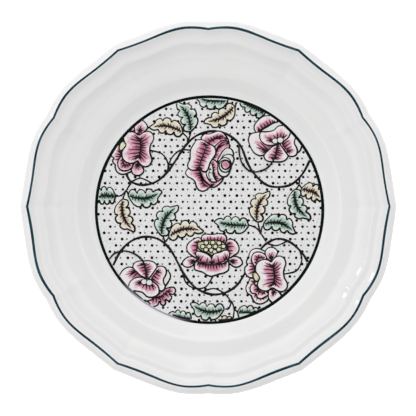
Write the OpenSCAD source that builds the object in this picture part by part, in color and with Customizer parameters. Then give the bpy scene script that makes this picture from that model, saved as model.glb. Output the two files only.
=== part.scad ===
// Dinner plate of glazed white earthenware: a lobed, moulded rim with a painted line on its
// crest, and a round well with a flower-and-dot print inside a printed ring. The plate lies
// face up on its foot ring, with the origin under its centre and +Z up. Millimetres.

/* [Plate] */
// Diameter over the lobes of the rim
plate_d = 275; // [240:1:300]
// Height of the crest of the rim above the table
crest_z = 22; // [20:0.5:26]
// Height of the well's floor above the table
floor_z = 7; // [6.5:0.1:8]
// Thickness of the wall, with its glaze
wall = 4.6; // [4:0.1:5]
// How far the crest swings in and out of a circle at each lobe
lobe_swing = 1.13; // [0:0.01:2]

/* [Foot ring] */
// Outer diameter of the bare bearing face
foot_d = 162.8; // [150:0.1:164]
// Width of the bare bearing face
foot_face = 3; // [2:0.1:4]
// Height of the recess inside the foot ring
recess_z = 2.4; // [1.5:0.1:3]

/* [Glaze] */
// Thickness of the glaze coat
glaze = 0.3; // [0.2:0.05:0.5]
// Height up to which the foot ring is left bare
bare_z = 0.4; // [0.3:0.1:0.8]

/* [Decoration] */
// Thickness of a fired colour layer
ink = 0.1; // [0.05:0.01:0.2]
// Width of the painted line on the crest of the rim
rim_line_w = 1.7; // [0.8:0.1:2]
// Middle diameter of the printed ring round the well
well_line_d = 166; // [160:0.1:166]
// Width of the printed ring round the well
well_line_w = 2; // [0.8:0.1:2]
// Width of the printed outlines
outline_w = 0.75; // [0.4:0.05:0.9]
// Width of the main stems
stem_w = 1.4; // [0.8:0.05:1.6]
// Distance between the columns of the ground of dots
dot_column = 4.4; // [4.2:0.05:6]
// Distance between the rows of the ground of dots
dot_row = 4.55; // [4.2:0.05:6]
// Diameter of the large dots
large_dot_d = 2; // [1:0.1:2.2]
// Diameter of the small dots
small_dot_d = 1.2; // [0.5:0.1:1.4]
// How far the print lies off the plate's axis, as a hand-laid transfer does
print_shift = [0.9, -1.1]; // [-1.2:0.1:1.2]

/* [Hidden] */
$fn = 128;
// Height of a form that only cuts
cut_h = 40;

// The section's places, as radii from the axis
edge_r = plate_d / 2 - 0.35 * lobe_swing - 0.3;
crest_r = edge_r - 5.7;
band_r = crest_r - 10.2;
slope_r = band_r - 12.3;
shelf_r = slope_r - 10.7;
well_r = shelf_r - 12.8;
foot_out = foot_d / 2;
foot_in = foot_out - foot_face;

// The section's heights on the face
shelf_z = floor_z + 6;
slope_z = shelf_z + 0.6;
band_z = slope_z + 4.9;
lip_z = crest_z - 1.8;
band_step = 0.35;

print_z = floor_z;
print_r = well_line_d / 2;

// ---- Outline of the rim ----

lobe_step = 3;
corner_turn = 60;
dip = 8.5;
bulge = 22;
notch = corner_turn / 2;

// Angle from the nearest of the six outward corners, 0 to 30 degrees
function from_corner(a) = abs((a + notch) % corner_turn - notch);

// The rim's swing at an angle u from a corner: out at the corner, in at the dip, out over
// the bulge, and in again at the notch half way to the next corner
function lobe(u) =
    u < dip ? -1 + 1.9 * pow(1 - u / dip, 2)
    : u < bulge ? -cos(180 * (u - dip) / (bulge - dip))
    : 1 - 1.8 * pow((u - bulge) / (notch - bulge), 1.6);

// Points of a lobed ring of mean radius r, whose swing is a share of the crest's
function lobed(r, share = 1) = [
    for (a = [0 : lobe_step : 360 - lobe_step])
        let (q = r + share * lobe_swing * lobe(from_corner(a)))
            [q * cos(a), q * sin(a)]
];

module lobed_prism(r, share = 1) {
    translate([0, 0, -1]) linear_extrude(cut_h) polygon(lobed(r, share));
}

// ---- Clay and glaze ----

// Section of the face, t inside the glaze's surface; rise lifts it outside the band
function face_line(t, rise) = [
    [0, floor_z - t],
    [well_r + 0.5, floor_z - t],
    [well_r + 2, floor_z + 0.45 - t],
    [well_r + 5, floor_z + 2 - t],
    [well_r + 9, floor_z + 4.3 - t],
    [shelf_r - 1.5, shelf_z - 0.5 - t],
    [shelf_r + 1.5, shelf_z - t],
    [slope_r, slope_z + rise - t],
    [slope_r + 4, slope_z + 1 + rise - t],
    [band_r, band_z + rise - t],
    [crest_r - 4, lip_z + rise - t],
    [crest_r, crest_z - t],
    [crest_r + 9, crest_z + 3.6 - t],
];

// Section of the back, t inside the glaze's surface, from the outside in
function back_line(t) = [
    [crest_r + 9, crest_z - 4.9 + t],
    [crest_r, lip_z - wall + 0.4 + t],
    [band_r, band_z - wall + t],
    [slope_r + 4, slope_z + 0.8 - wall + t],
    [slope_r, slope_z - wall + t],
    [shelf_r, shelf_z - wall - 0.1 + t],
    [well_r + 8, floor_z + 3.7 - wall + t],
    [well_r + 1, floor_z + 0.6 - wall + t],
    [foot_out + 0.4 - t, bare_z],
    [foot_out, t > 0 ? 0 : bare_z],
    [foot_in, t > 0 ? 0 : bare_z],
    [foot_in - 0.4 + t, bare_z],
    [foot_in - 1.8 + t, recess_z + t],
    [0, recess_z + t],
];

// How far the edge of the plate lies inside its outermost line, with the share of the
// crest's swing that it follows, and its height, from the underside up over the crest
edge_rings = [
    [5, 0.65, -1],
    [5, 0.65, crest_z - 6.4],
    [1.6, 0.65, crest_z - 5.5],
    [0.4, 0.65, crest_z - 4.8],
    [0, 0.65, crest_z - 4],
    [0.3, 0.65, crest_z - 3.1],
    [1.3, 0.7, crest_z - 2.3],
    [5.7, 1, crest_z],
    [8.6, 1, crest_z + 1.4],
];

// The closed form that cuts the edge: lobed rings, t inside the glaze's surface
module edge_form(t) {
    count = 360 / lobe_step;
    rings = len(edge_rings);
    points = [
        for (e = edge_rings)
            for (p = lobed(edge_r - e[0] - t, e[1])) [p[0], p[1], e[2]]
    ];
    walls = [
        for (i = [0 : rings - 2])
            for (j = [0 : count - 1])
                let (a = i * count + j, b = i * count + (j + 1) % count)
                    [a + count, b + count, b, a]
    ];
    bottom = [[for (j = [0 : count - 1]) j]];
    top = [[for (j = [count - 1 : -1 : 0]) (rings - 1) * count + j]];
    polyhedron(points, concat(walls, bottom, top), convexity = 4);
}

// The whole plate, t inside the glaze's surface
module plate_form(t) {
    intersection() {
        union() {
            rotate_extrude() polygon(concat(face_line(t, 0), back_line(t)));
            difference() {
                rotate_extrude() polygon(concat(face_line(t, band_step), back_line(t)));
                lobed_prism(band_r + t);
            }
        }
        edge_form(t);
    }
}

module plate_body() {
    color("antiquewhite") plate_form(glaze);
}

module glaze_coat() {
    color("whitesmoke") difference() {
        plate_form(0);
        plate_form(glaze);
    }
}

// ---- Painted and printed rings ----

module rim_line() {
    color([0.18, 0.31, 0.35]) intersection() {
        difference() {
            translate([0, 0, ink]) plate_form(0);
            plate_form(0);
        }
        difference() {
            lobed_prism(crest_r + rim_line_w / 2);
            lobed_prism(crest_r - rim_line_w / 2);
        }
    }
}

// Where the print lies on the floor of the well
module in_well() {
    translate([print_shift[0], print_shift[1], print_z]) children();
}

module well_line() {
    color([0.06, 0.14, 0.14]) in_well() rotate_extrude()
        translate([print_r - well_line_w / 2, 0]) square([well_line_w, ink]);
}

// ---- Print in the well ----

// Number of points along each span of a curve, and along each side of a leaf or petal
span_steps = 4;
side_steps = 12;

// Main stems and their tendrils, as points that a smooth curve runs through
main_stems = [
    [[-61, 26], [-57.5, 20.5], [-49, 18], [-39, 20.5], [-31, 27.5], [-24.5, 36.5], [-18, 46.5],
     [-10, 54], [0, 57.5], [10, 56.5], [18, 52], [23.5, 45.5], [28, 34], [33, 26],
     [41, 18.5], [50, 16.5], [60, 18.5], [68, 26], [73.5, 36]],
    [[-70.5, -41], [-65, -30.5], [-57, -23], [-47, -20], [-37, -22], [-29, -29], [-23.5, -38.5],
     [-18, -48.5], [-10, -57.5], [0, -62], [10, -61.5], [19, -56.5], [25.5, -47.5], [30, -37.5],
     [38, -28.5], [42.5, -24.5], [50, -21.5], [59, -24], [67, -31], [72, -38.5]],
];
tendrils = [
    [[-44, 43.5], [-35, 41], [-30.5, 34], [-31, 27.5]],
    [[-30.5, 29], [-28, 37.5], [-21.5, 43.5], [-13, 43.5]],
    [[-57, 20.5], [-50.5, 23], [-42.5, 19.5]],
    [[21.5, 46.5], [22.5, 37.5], [26, 31], [32, 27.5], [41.5, 30], [47.5, 37.5], [49, 45]],
    [[-73, -36], [-69, -32], [-61.5, -30.5], [-53.5, -33.5], [-48, -39.5], [-46, -48]],
    [[-20, -45], [-17, -54], [-10, -58], [-2.5, -56.5], [2.5, -49]],
    [[-4.5, -60], [3.5, -58], [11, -61.5]],
    [[42.5, -25], [49, -26.5], [56.5, -23.5]],
    [[66, -30], [67.5, -37.5], [63.5, -45], [54, -47.5]],
    [[-16, 49], [-16.5, 53], [-19.5, 56]],
    [[-15.5, 51], [-13.5, 57]],
    [[19.5, 79], [19, 75]],
    [[-57.5, 19.5], [-61, 14], [-63.5, 8]],
    [[-61, 14], [-64.5, 10.5], [-69, 9.5]],
    [[-60.5, 13.5], [-59, 9.5]],
    [[-32.5, -24.5], [-33.5, -21], [-35, -19]],
    [[-32.5, -24], [-29.5, -20]],
    [[41.5, -23.5], [37.5, -17.5], [34, -13.5], [29, -11.5]],
    [[37, -16.5], [35.5, -10]],
    [[37.5, -18], [38.5, -13], [41, -10.5]],
    [[66, 23], [65.5, 18], [62.5, 14]],
    [[65.5, 18.5], [68.5, 14.5]],
    [[11, -61.5], [15.5, -67.5], [14, -72.5], [11.5, -73]],
    [[16, -67], [18, -73], [17, -79.5]],
    [[17.5, -72], [21.5, -76.5]],
];

// Leaves as base, tip and width
green_leaf_list = [
    [[-13.5, 57], [-22, 78], 12], [[13, 79], [-9, 79], 10], [[41, 70], [23.5, 76.5], 10],
    [[-69, 9.5], [-83, 9.5], 12], [[-59, 9.5], [-34.5, 12], 12], [[-35, -19], [-23.5, 2.5], 12],
    [[29, -11.5], [4.5, -10.5], 11], [[41, -10.5], [63.5, -17], 12], [[62.5, 14], [72.5, -7], 11],
    [[11.5, -73], [-12.5, -70], 10], [[21.5, -76.5], [34.5, -72.5], 8],
    [[-13.5, -79.5], [-25, -75], 8],
];
yellow_leaf_list = [
    [[-19.5, 56], [-43, 60], 11], [[19, 75], [-3, 63], 11], [[-63.5, 8], [-56, -16.5], 10.5],
    [[-29.5, -20], [-4.5, -15], 10.5], [[35.5, -10], [44, 13], 10.5], [[68.5, 14.5], [81, 6.5], 10],
];

// Flowers as centre, radius, number of petals and turn
flower_list = [
    [[-54.5, 43.5], 14, 5, 20], [[1, 35.5], 18, 8, 0], [[49, 50], 15.5, 5, 55],
    [[2, -33], 16, 7, 90], [[-46, -52], 14.5, 5, 10], [[41, -47.5], 15.5, 6, 30],
];
centre_share = 0.24;
petal_share = 0.775;
petal_gap = 0.4;
tendril_share = 0.6;
rib_share = 0.8;

// One span of a smooth curve through the points p, at t from 0 to 1 after point i
function span(p, i, t) =
    let (
        n = len(p) - 1,
        a = p[max(0, i - 1)],
        b = p[i],
        c = p[min(n, i + 1)],
        d = p[min(n, i + 2)]
    )
        0.5 * (2 * b + (c - a) * t + (2 * a - 5 * b + 4 * c - d) * t * t
            + (3 * b - a - 3 * c + d) * t * t * t);

function smooth(p) = [
    for (i = [0 : len(p) - 2])
        for (k = [0 : span_steps - 1]) span(p, i, k / span_steps),
    p[len(p) - 1],
];

// The way across a path at point i, of length 1
function across(c, i) =
    let (d = c[min(len(c) - 1, i + 1)] - c[max(0, i - 1)]) [-d[1], d[0]] / norm(d);

// A line of even width along a path
module stroke(points, width) {
    c = smooth(points);
    last = len(c) - 1;
    polygon(concat(
        [for (i = [0 : last]) c[i] + across(c, i) * width / 2],
        [for (i = [last : -1 : 0]) c[i] - across(c, i) * width / 2]
    ));
}

// Half the width of a leaf, as a share, at s from its base to its tip
function leaf_half(s) = pow(sin(180 * pow(s, 0.85)), 0.8) * (0.85 + 0.15 * cos(360 * 4 * s));

// Half the width of a petal, as a share, at s from its root to its tip
function petal_half(s) = pow(sin(180 * pow(s, 1.7)), 0.75);

// Points of a leaf or petal along +X, inset all round by e; round_tip picks the petal
function blade(length, width, e, round_tip) =
    let (
        side = [
            for (k = [0 : side_steps])
                let (s = k / side_steps)
                    [
                        e + s * (length - 2 * e),
                        (round_tip ? petal_half(s) : leaf_half(s)) * (width / 2 - e) + 0.05,
                    ]
        ]
    )
        concat(side, [for (k = [side_steps : -1 : 0]) [side[k][0], -side[k][1]]]);

module place_leaf(leaf) {
    d = leaf[1] - leaf[0];
    translate(leaf[0]) rotate(atan2(d[1], d[0])) children();
}

module leaf_shape(leaf, e) {
    place_leaf(leaf) polygon(blade(norm(leaf[1] - leaf[0]), leaf[2], e, false));
}

module leaf_rib(leaf) {
    rib = norm(leaf[1] - leaf[0]) * rib_share;
    place_leaf(leaf) translate([0, -outline_w / 2]) square([rib, outline_w]);
}

// One petal of a flower, inset all round by e
module petal_shape(flower, k, e) {
    root = flower[1] * centre_share;
    width = 2 * flower[1] * petal_share * sin(180 / flower[2]) - petal_gap;
    translate(flower[0]) rotate(flower[3] + 360 * k / flower[2])
        translate([root, 0]) polygon(blade(flower[1] - root, width, e, true));
}

module inside_ring() {
    intersection() {
        children();
        circle(r = print_r - well_line_w / 2);
    }
}

module printed() {
    in_well() linear_extrude(ink) children();
}

module stem_print() {
    color([0.1, 0.09, 0.1]) printed() difference() {
        inside_ring() {
            for (s = main_stems) stroke(s, stem_w);
            for (s = tendrils) stroke(s, stem_w * tendril_share);
        }
        for (f = flower_list) {
            translate(f[0]) circle(r = f[1] * centre_share);
            for (k = [0 : f[2] - 1]) petal_shape(f, k, 0);
        }
        for (leaf = concat(green_leaf_list, yellow_leaf_list)) leaf_shape(leaf, 0);
    }
}

module outline_print() {
    color([0.1, 0.09, 0.1]) printed() {
        for (f = flower_list)
            for (k = [0 : f[2] - 1]) inside_ring() difference() {
                petal_shape(f, k, 0);
                petal_shape(f, k, outline_w);
            }
        for (leaf = concat(green_leaf_list, yellow_leaf_list)) inside_ring() difference() {
            leaf_shape(leaf, 0);
            difference() {
                leaf_shape(leaf, outline_w);
                leaf_rib(leaf);
            }
        }
    }
}

module rose_petals() {
    color([0.83, 0.55, 0.65]) printed()
        for (f = flower_list)
            for (k = [0 : f[2] - 1]) inside_ring() petal_shape(f, k, outline_w);
}

module leaf_fill(leaves) {
    for (leaf = leaves) inside_ring() difference() {
        leaf_shape(leaf, outline_w);
        leaf_rib(leaf);
    }
}

module green_leaves() {
    color([0.62, 0.76, 0.68]) printed() leaf_fill(green_leaf_list);
}

module yellow_leaves() {
    color([0.93, 0.88, 0.73]) printed() leaf_fill(yellow_leaf_list);
}

module flower_centres() {
    color([0.8, 0.8, 0.55]) printed()
        for (f = flower_list) translate(f[0]) circle(r = f[1] * centre_share - petal_gap);
}

// ---- Ground of dots ----

// Distance from a point to the line between a and b
function off_line(p, a, b) =
    let (d = b - a, t = max(0, min(1, (p - a) * d / (d * d)))) norm(p - a - t * d);

// Points along every stem
stem_points = [for (s = concat(main_stems, tendrils)) each smooth(s)];

// True where a dot has clear ground around it
function clear_ground(p) =
    norm(p) < print_r - well_line_w / 2 - large_dot_d
    && min([for (q = stem_points) norm(p - q)]) > large_dot_d / 2 + stem_w
    && min([for (f = flower_list) norm(p - f[0]) - f[1]]) > large_dot_d / 2
    && min([for (l = concat(green_leaf_list, yellow_leaf_list)) off_line(p, l[0], l[1]) - l[2] / 2])
        > large_dot_d / 2;

// A large dot stands in every other place of the grid, and a small one to the right of each
dot_origin = [2.3, 1];
small_dot_shift = 3.4;
module dots(diameter, shift) {
    columns = ceil(print_r / dot_column);
    rows = ceil(print_r / dot_row);
    for (i = [-columns : columns])
        for (j = [-rows : rows])
            if ((i + j) % 2 == 0) {
                p = dot_origin + [dot_column * i + shift, dot_row * j];
                if (clear_ground(p)) translate(p) circle(d = diameter, $fn = 24);
            }
}

module large_dots() {
    color([0.12, 0.11, 0.13]) printed() dots(large_dot_d, 0);
}

module small_dots() {
    color([0.35, 0.33, 0.36]) printed() dots(small_dot_d, small_dot_shift);
}

plate_body();
glaze_coat();
rim_line();
well_line();
stem_print();
outline_print();
rose_petals();
green_leaves();
yellow_leaves();
flower_centres();
large_dots();
small_dots();
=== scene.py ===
"""A glazed earthenware dinner plate with a lobed, moulded rim and a printed and enamelled well.

The plate lies face up on its foot ring, with the origin under its centre and +Z up. Sizes in
the classes are millimetres, and each finished mesh is scaled to metres once, as it is placed.
"""

import logging
import math
from contextlib import contextmanager
from dataclasses import dataclass, field, replace
from enum import Enum
from itertools import groupby
from typing import Callable, Iterable, Iterator, Optional, Sequence

import bpy
from mathutils import Euler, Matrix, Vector

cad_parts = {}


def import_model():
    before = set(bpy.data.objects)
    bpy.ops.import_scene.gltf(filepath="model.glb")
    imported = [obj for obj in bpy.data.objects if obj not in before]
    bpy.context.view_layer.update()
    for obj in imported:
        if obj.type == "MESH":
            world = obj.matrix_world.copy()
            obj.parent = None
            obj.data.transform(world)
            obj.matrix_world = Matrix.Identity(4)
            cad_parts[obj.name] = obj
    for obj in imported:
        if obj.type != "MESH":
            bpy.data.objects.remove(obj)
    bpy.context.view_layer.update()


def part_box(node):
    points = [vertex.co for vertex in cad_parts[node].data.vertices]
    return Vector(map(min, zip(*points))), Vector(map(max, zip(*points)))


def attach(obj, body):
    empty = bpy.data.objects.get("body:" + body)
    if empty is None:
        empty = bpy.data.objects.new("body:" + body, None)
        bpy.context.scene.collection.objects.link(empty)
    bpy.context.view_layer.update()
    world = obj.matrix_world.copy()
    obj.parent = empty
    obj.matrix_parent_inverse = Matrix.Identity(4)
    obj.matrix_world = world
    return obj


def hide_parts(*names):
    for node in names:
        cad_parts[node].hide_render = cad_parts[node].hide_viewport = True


Point = tuple[float, float]
Outline = tuple[Point, ...]
Place3 = tuple[float, float, float]
Stops = tuple[tuple[float, str], ...]
MM = 0.001
BODY = "root"

log = logging.getLogger("dinner_plate")


# ---- Curves drawn in the plane of the well ----


def on_span(a: Vector, b: Vector, c: Vector, d: Vector, t: float) -> Vector:
    """Gives a point of the smooth curve from b to c.

    Args:
        a: The point before the span.
        b: The span's first point.
        c: The span's last point.
        d: The point after the span.
        t: How far along the span, from 0 to 1.

    Returns:
        The point.
    """
    return 0.5 * (
        2 * b + (c - a) * t + (2 * a - 5 * b + 4 * c - d) * t**2 + (3 * b - a - 3 * c + d) * t**3
    )


def flowing(points: Sequence[Point], closed: bool = False, steps: int = 8) -> list[Vector]:
    """Runs a smooth curve through a few chosen points.

    Args:
        points: The points, in order.
        closed: Whether the curve returns to its first point.
        steps: Points made along each span.

    Returns:
        The curve's points.
    """
    given = [Vector(p) for p in points]
    last = len(given) - 1
    made = []
    for i in range(len(given) if closed else last):
        if closed:
            a, b, c, d = (given[(i + k) % len(given)] for k in (-1, 0, 1, 2))
        else:
            a, b, c, d = (given[min(max(i + k, 0), last)] for k in (-1, 0, 1, 2))
        made += [on_span(a, b, c, d, k / steps) for k in range(steps)]
    return made if closed else made + [given[-1]]


def evenly(line: Sequence[Vector], count: int, closed: bool = False) -> list[Vector]:
    """Spaces points evenly along a curve.

    Args:
        line: The curve's points.
        count: How many points to make.
        closed: Whether the curve returns to its first point.

    Returns:
        The new points, with both ends kept on an open curve.
    """
    path = list(line) + [line[0]] if closed else list(line)
    runs = [0.0]
    for a, b in zip(path, path[1:]):
        runs.append(runs[-1] + (b - a).length)
    spans = count if closed else count - 1
    made, i = [], 0
    for k in range(count):
        want = runs[-1] * k / spans
        while i < len(runs) - 2 and runs[i + 1] < want:
            i += 1
        share = (want - runs[i]) / max(runs[i + 1] - runs[i], 1e-9)
        made.append(path[i].lerp(path[i + 1], min(max(share, 0.0), 1.0)))
    return made


def nearest_on(line: Sequence[Vector], point: Vector) -> Vector:
    """Gives the point of an open line that lies nearest to another point.

    Args:
        line: The line's points.
        point: The other point.

    Returns:
        The nearest point of the line.
    """
    best, gap = line[0], math.inf
    for a, b in zip(line, line[1:]):
        way = b - a
        share = (point - a).dot(way) / max(way.length_squared, 1e-9)
        foot = a + way * min(max(share, 0.0), 1.0)
        if (point - foot).length < gap:
            best, gap = foot, (point - foot).length
    return best


def oval(centre: Point, across: float, up: float) -> Outline:
    """Draws an oval as an outline of twelve points.

    Args:
        centre: Its middle.
        across: Its half width.
        up: Its half height.

    Returns:
        The outline.
    """
    turns = [math.radians(turn) for turn in range(0, 360, 30)]
    return tuple((centre[0] + across * math.cos(a), centre[1] + up * math.sin(a)) for a in turns)


def eased(low: float, high: float, value: float) -> float:
    """Rises smoothly from 0 at low to 1 at high.

    Args:
        low: Where the rise starts.
        high: Where the rise ends.
        value: The place asked for.

    Returns:
        The share of the rise, from 0 to 1.
    """
    t = min(max((value - low) / (high - low), 0.0), 1.0)
    return t * t * (3 - 2 * t)


# ---- Working by operators ----


def deselect() -> None:
    """Leaves object mode with nothing selected, so that the next operator acts on its own piece."""
    if bpy.context.object is not None and bpy.context.object.mode != "OBJECT":
        bpy.ops.object.mode_set(mode="OBJECT")
    bpy.ops.object.select_all(action="DESELECT")


def pick(*pieces: bpy.types.Object) -> None:
    """Selects these pieces alone, with the first one active."""
    deselect()
    for piece in pieces:
        piece.select_set(True)
    bpy.context.view_layer.objects.active = pieces[0]


@contextmanager
def edit_mode() -> Iterator[None]:
    """Works in edit mode on the active piece, with all of it selected."""
    bpy.ops.object.mode_set(mode="EDIT")
    bpy.ops.mesh.select_all(action="SELECT")
    yield
    bpy.ops.object.mode_set(mode="OBJECT")


def smooth(piece: bpy.types.Object, sharpest: float) -> None:
    """Shades a piece smooth, except at edges that turn by more than so many degrees."""
    pick(piece)
    bpy.ops.object.shade_smooth_by_angle(angle=math.radians(sharpest))


def apply_modifier(piece: bpy.types.Object, kind: str, **settings: object) -> None:
    """Adds a modifier to a piece and applies it.

    Args:
        piece: The piece.
        kind: Blender's name for the modifier's type.
        **settings: The modifier's settings.
    """
    pick(piece)
    modifier = piece.modifiers.new(kind.title(), kind)
    for name, value in settings.items():
        setattr(modifier, name, value)
    bpy.ops.object.modifier_apply(modifier=modifier.name)


def joined(pieces: Sequence[bpy.types.Object], name: str) -> bpy.types.Object:
    """Joins pieces into the first one.

    Args:
        pieces: The pieces.
        name: The name of the joined piece.

    Returns:
        The joined piece.
    """
    pick(*pieces)
    if len(pieces) > 1:
        bpy.ops.object.join()
    pieces[0].name = name
    pieces[0].data.name = name
    return pieces[0]


def copied(piece: bpy.types.Object, name: str) -> bpy.types.Object:
    """Copies a piece with a mesh of its own.

    Args:
        piece: The piece.
        name: The copy's name.

    Returns:
        The copy.
    """
    twin = piece.copy()
    twin.data = piece.data.copy()
    twin.name = name
    bpy.context.scene.collection.objects.link(twin)
    return twin


def mark(piece: bpy.types.Object, name: str, values: Sequence[float]) -> None:
    """Writes a number on each point of a piece, for its finish to read.

    Args:
        piece: The piece.
        name: The attribute's name.
        values: One number for each point.
    """
    attribute = piece.data.attributes.new(name, "FLOAT", "POINT")
    attribute.data.foreach_set("value", list(values))


def placed(
    piece: bpy.types.Object,
    finish: bpy.types.Material,
    slot: str,
    *nodes: str,
    shift: Place3 = (0.0, 0.0, 0.0),
) -> None:
    """Turns a piece's millimetres to metres, dresses it and gives it to the plate.

    Args:
        piece: The piece, drawn in millimetres at the origin.
        finish: The material that it wears.
        slot: The record's material slot; not used.
        *nodes: The CAD nodes that it stands for.
        shift: How far the piece is moved first, in millimetres.
    """
    pick(piece)
    bpy.ops.transform.translate(value=shift)
    bpy.ops.transform.resize(value=(MM, MM, MM), center_override=(0.0, 0.0, 0.0))
    bpy.ops.object.transform_apply(location=True, rotation=True, scale=True)
    piece.data.materials.clear()
    piece.data.materials.append(finish)
    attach(piece, BODY)
    if nodes:
        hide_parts(*nodes)
    log.info("%s: %d faces", piece.name, len(piece.data.polygons))


# ---- Finishes ----


def linear(code: str) -> tuple[float, float, float, float]:
    """Turns a colour from sRGB hex to linear values.

    Args:
        code: Six hex digits after a #.

    Returns:
        Linear red, green, blue and an alpha of 1.
    """
    parts = [int(code[i : i + 2], 16) / 255 for i in (1, 3, 5)]
    red, green, blue = (c / 12.92 if c <= 0.04045 else ((c + 0.055) / 1.055) ** 2.4 for c in parts)
    return red, green, blue, 1.0


# Glaze and enamel are glasses
GLASS_IOR = 1.5


def repeats(size: float) -> float:
    """Gives the texture scale at which a pattern repeats every so many millimetres."""
    return 1 / (size * MM)


def feed(tree: bpy.types.NodeTree, node: bpy.types.Node, links: dict) -> None:
    """Sets and links a node's inputs.

    Args:
        tree: The material's node tree.
        node: The node.
        links: Input name or number, to a value or to an output socket.
    """
    for name, value in links.items():
        if isinstance(value, bpy.types.NodeSocket):
            tree.links.new(value, node.inputs[name])
        else:
            node.inputs[name].default_value = value


def add(
    tree: bpy.types.NodeTree,
    kind: str,
    links: Optional[dict] = None,
    stops: Stops = (),
    **settings: object,
) -> bpy.types.Node:
    """Adds a node to a material.

    Args:
        tree: The material's node tree.
        kind: The node's type, without its ShaderNode prefix.
        links: Input name or number, to a value or to an output socket.
        stops: A colour ramp's stops in order, each a place and an sRGB hex colour.
        **settings: The node's own settings.

    Returns:
        The node.
    """
    node = tree.nodes.new("ShaderNode" + kind)
    for name, value in settings.items():
        setattr(node, name, value)
    feed(tree, node, links or {})
    if stops:
        ends = node.color_ramp.elements
        while len(ends) < len(stops):
            ends.new(0.5)
        for end, (place, code) in zip(ends, stops):
            end.position = place
            end.color = linear(code)
    return node


def new_material(name: str) -> tuple[bpy.types.Material, bpy.types.Node]:
    """Makes an empty node material.

    Args:
        name: The material's name.

    Returns:
        The material and its Principled shader.
    """
    material = bpy.data.materials.new(name)
    material.use_nodes = True
    return material, material.node_tree.nodes["Principled BSDF"]


@dataclass(frozen=True)
class WhiteGlaze:
    """Clear glaze over white earthenware, dipped and fired: a soft white that is wet to the eye.

    The coat pools a little and gives the reflections a slow ripple, and the clay below it shows
    a few pale iron specks. Inside the printed ring the ground carries a fine engraved stipple.
    """

    white: str = "#E9E8E8"
    pooled: str = "#E5E6E5"
    speck: str = "#CFC8BC"
    stipple: str = "#B4B2B7"
    roughness: float = 0.08
    ripple_mm: float = 9.0
    pooling_mm: float = 38.0
    speck_mm: float = 11.0
    stipple_mm: float = 0.85
    patch_mm: float = 5.0
    ground_r: float = 82.0
    ground_at: Place3 = (0.9, -1.1, 7.0)

    def build(self) -> bpy.types.Material:
        """Builds the material."""
        material, shader = new_material("white_glaze")
        tree = material.node_tree
        place = add(tree, "TexCoord").outputs["Object"]
        specked = self.coat(tree, place)
        ground = add(
            tree,
            "Mix",
            {"Factor": self.stippled(tree, place), "A": specked, "B": linear(self.stipple)},
            data_type="RGBA",
        )
        waves = add(tree, "TexNoise", {"Vector": place, "Scale": repeats(self.ripple_mm), "Detail": 1.0})
        swell = add(
            tree, "Bump", {"Height": waves.outputs["Fac"], "Strength": 0.05, "Distance": 0.3 * MM}
        )
        feed(tree, shader, {"Base Color": ground.outputs["Result"], "Normal": swell.outputs["Normal"]})
        feed(tree, shader, {"Roughness": self.roughness, "IOR": GLASS_IOR})
        return material

    def coat(self, tree: bpy.types.NodeTree, place: bpy.types.NodeSocket) -> bpy.types.NodeSocket:
        """Colours the coat: white, cooler where it pools, with pale specks.

        Args:
            tree: The material's node tree.
            place: The socket that gives the place on the piece.

        Returns:
            The socket that gives the colour.
        """
        pools = add(tree, "TexNoise", {"Vector": place, "Scale": repeats(self.pooling_mm), "Detail": 3.0})
        body = add(
            tree, "ValToRGB", {"Fac": pools.outputs["Fac"]}, ((0.35, self.white), (0.7, self.pooled))
        )
        specks = add(tree, "TexVoronoi", {"Vector": place, "Scale": repeats(self.speck_mm)})
        is_speck = add(
            tree, "MapRange", {0: specks.outputs["Distance"], 1: 0.02, 2: 0.035, 3: 0.55, 4: 0.0}
        )
        specked = add(
            tree,
            "Mix",
            {"Factor": is_speck.outputs[0], "A": body.outputs["Color"], "B": linear(self.speck)},
            data_type="RGBA",
        )
        return specked.outputs["Result"]

    def stippled(self, tree: bpy.types.NodeTree, place: bpy.types.NodeSocket) -> bpy.types.NodeSocket:
        """Works out the stipple's strength, which is nothing outside the printed ring.

        The stipple is drawn at 0.85 mm, about twice the real spacing, so that it can show.

        Args:
            tree: The material's node tree.
            place: The socket that gives the place on the piece.

        Returns:
            The socket that gives the strength, from 0 to 1.
        """
        middle = tuple(x * MM for x in self.ground_at)
        off = add(tree, "VectorMath", {0: place, 1: middle}, operation="SUBTRACT")
        # Height counts twentyfold in the distance, which keeps the stipple off the underside
        tall = add(tree, "VectorMath", {0: off.outputs[0], 1: (1.0, 1.0, 20.0)}, operation="MULTIPLY")
        away = add(tree, "VectorMath", {0: tall.outputs[0]}, operation="LENGTH")
        near, far = self.ground_r * MM, (self.ground_r + 0.5) * MM
        in_ring = add(tree, "MapRange", {0: away.outputs["Value"], 1: near, 2: far, 3: 1.0, 4: 0.0})
        grain = add(tree, "TexVoronoi", {"Vector": place, "Scale": repeats(self.stipple_mm)})
        dots = add(tree, "MapRange", {0: grain.outputs["Distance"], 1: 0.2, 2: 0.42, 3: 1.0, 4: 0.0})
        wear = add(tree, "TexNoise", {"Vector": place, "Scale": repeats(self.patch_mm), "Detail": 2.0})
        patch = add(tree, "MapRange", {0: wear.outputs["Fac"], 1: 0.38, 2: 0.6, 3: 0.35, 4: 1.0})
        share = add(tree, "Math", {0: dots.outputs[0], 1: patch.outputs[0]}, operation="MULTIPLY")
        masked = add(tree, "Math", {0: share.outputs[0], 1: in_ring.outputs[0]}, operation="MULTIPLY")
        return masked.outputs[0]


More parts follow.
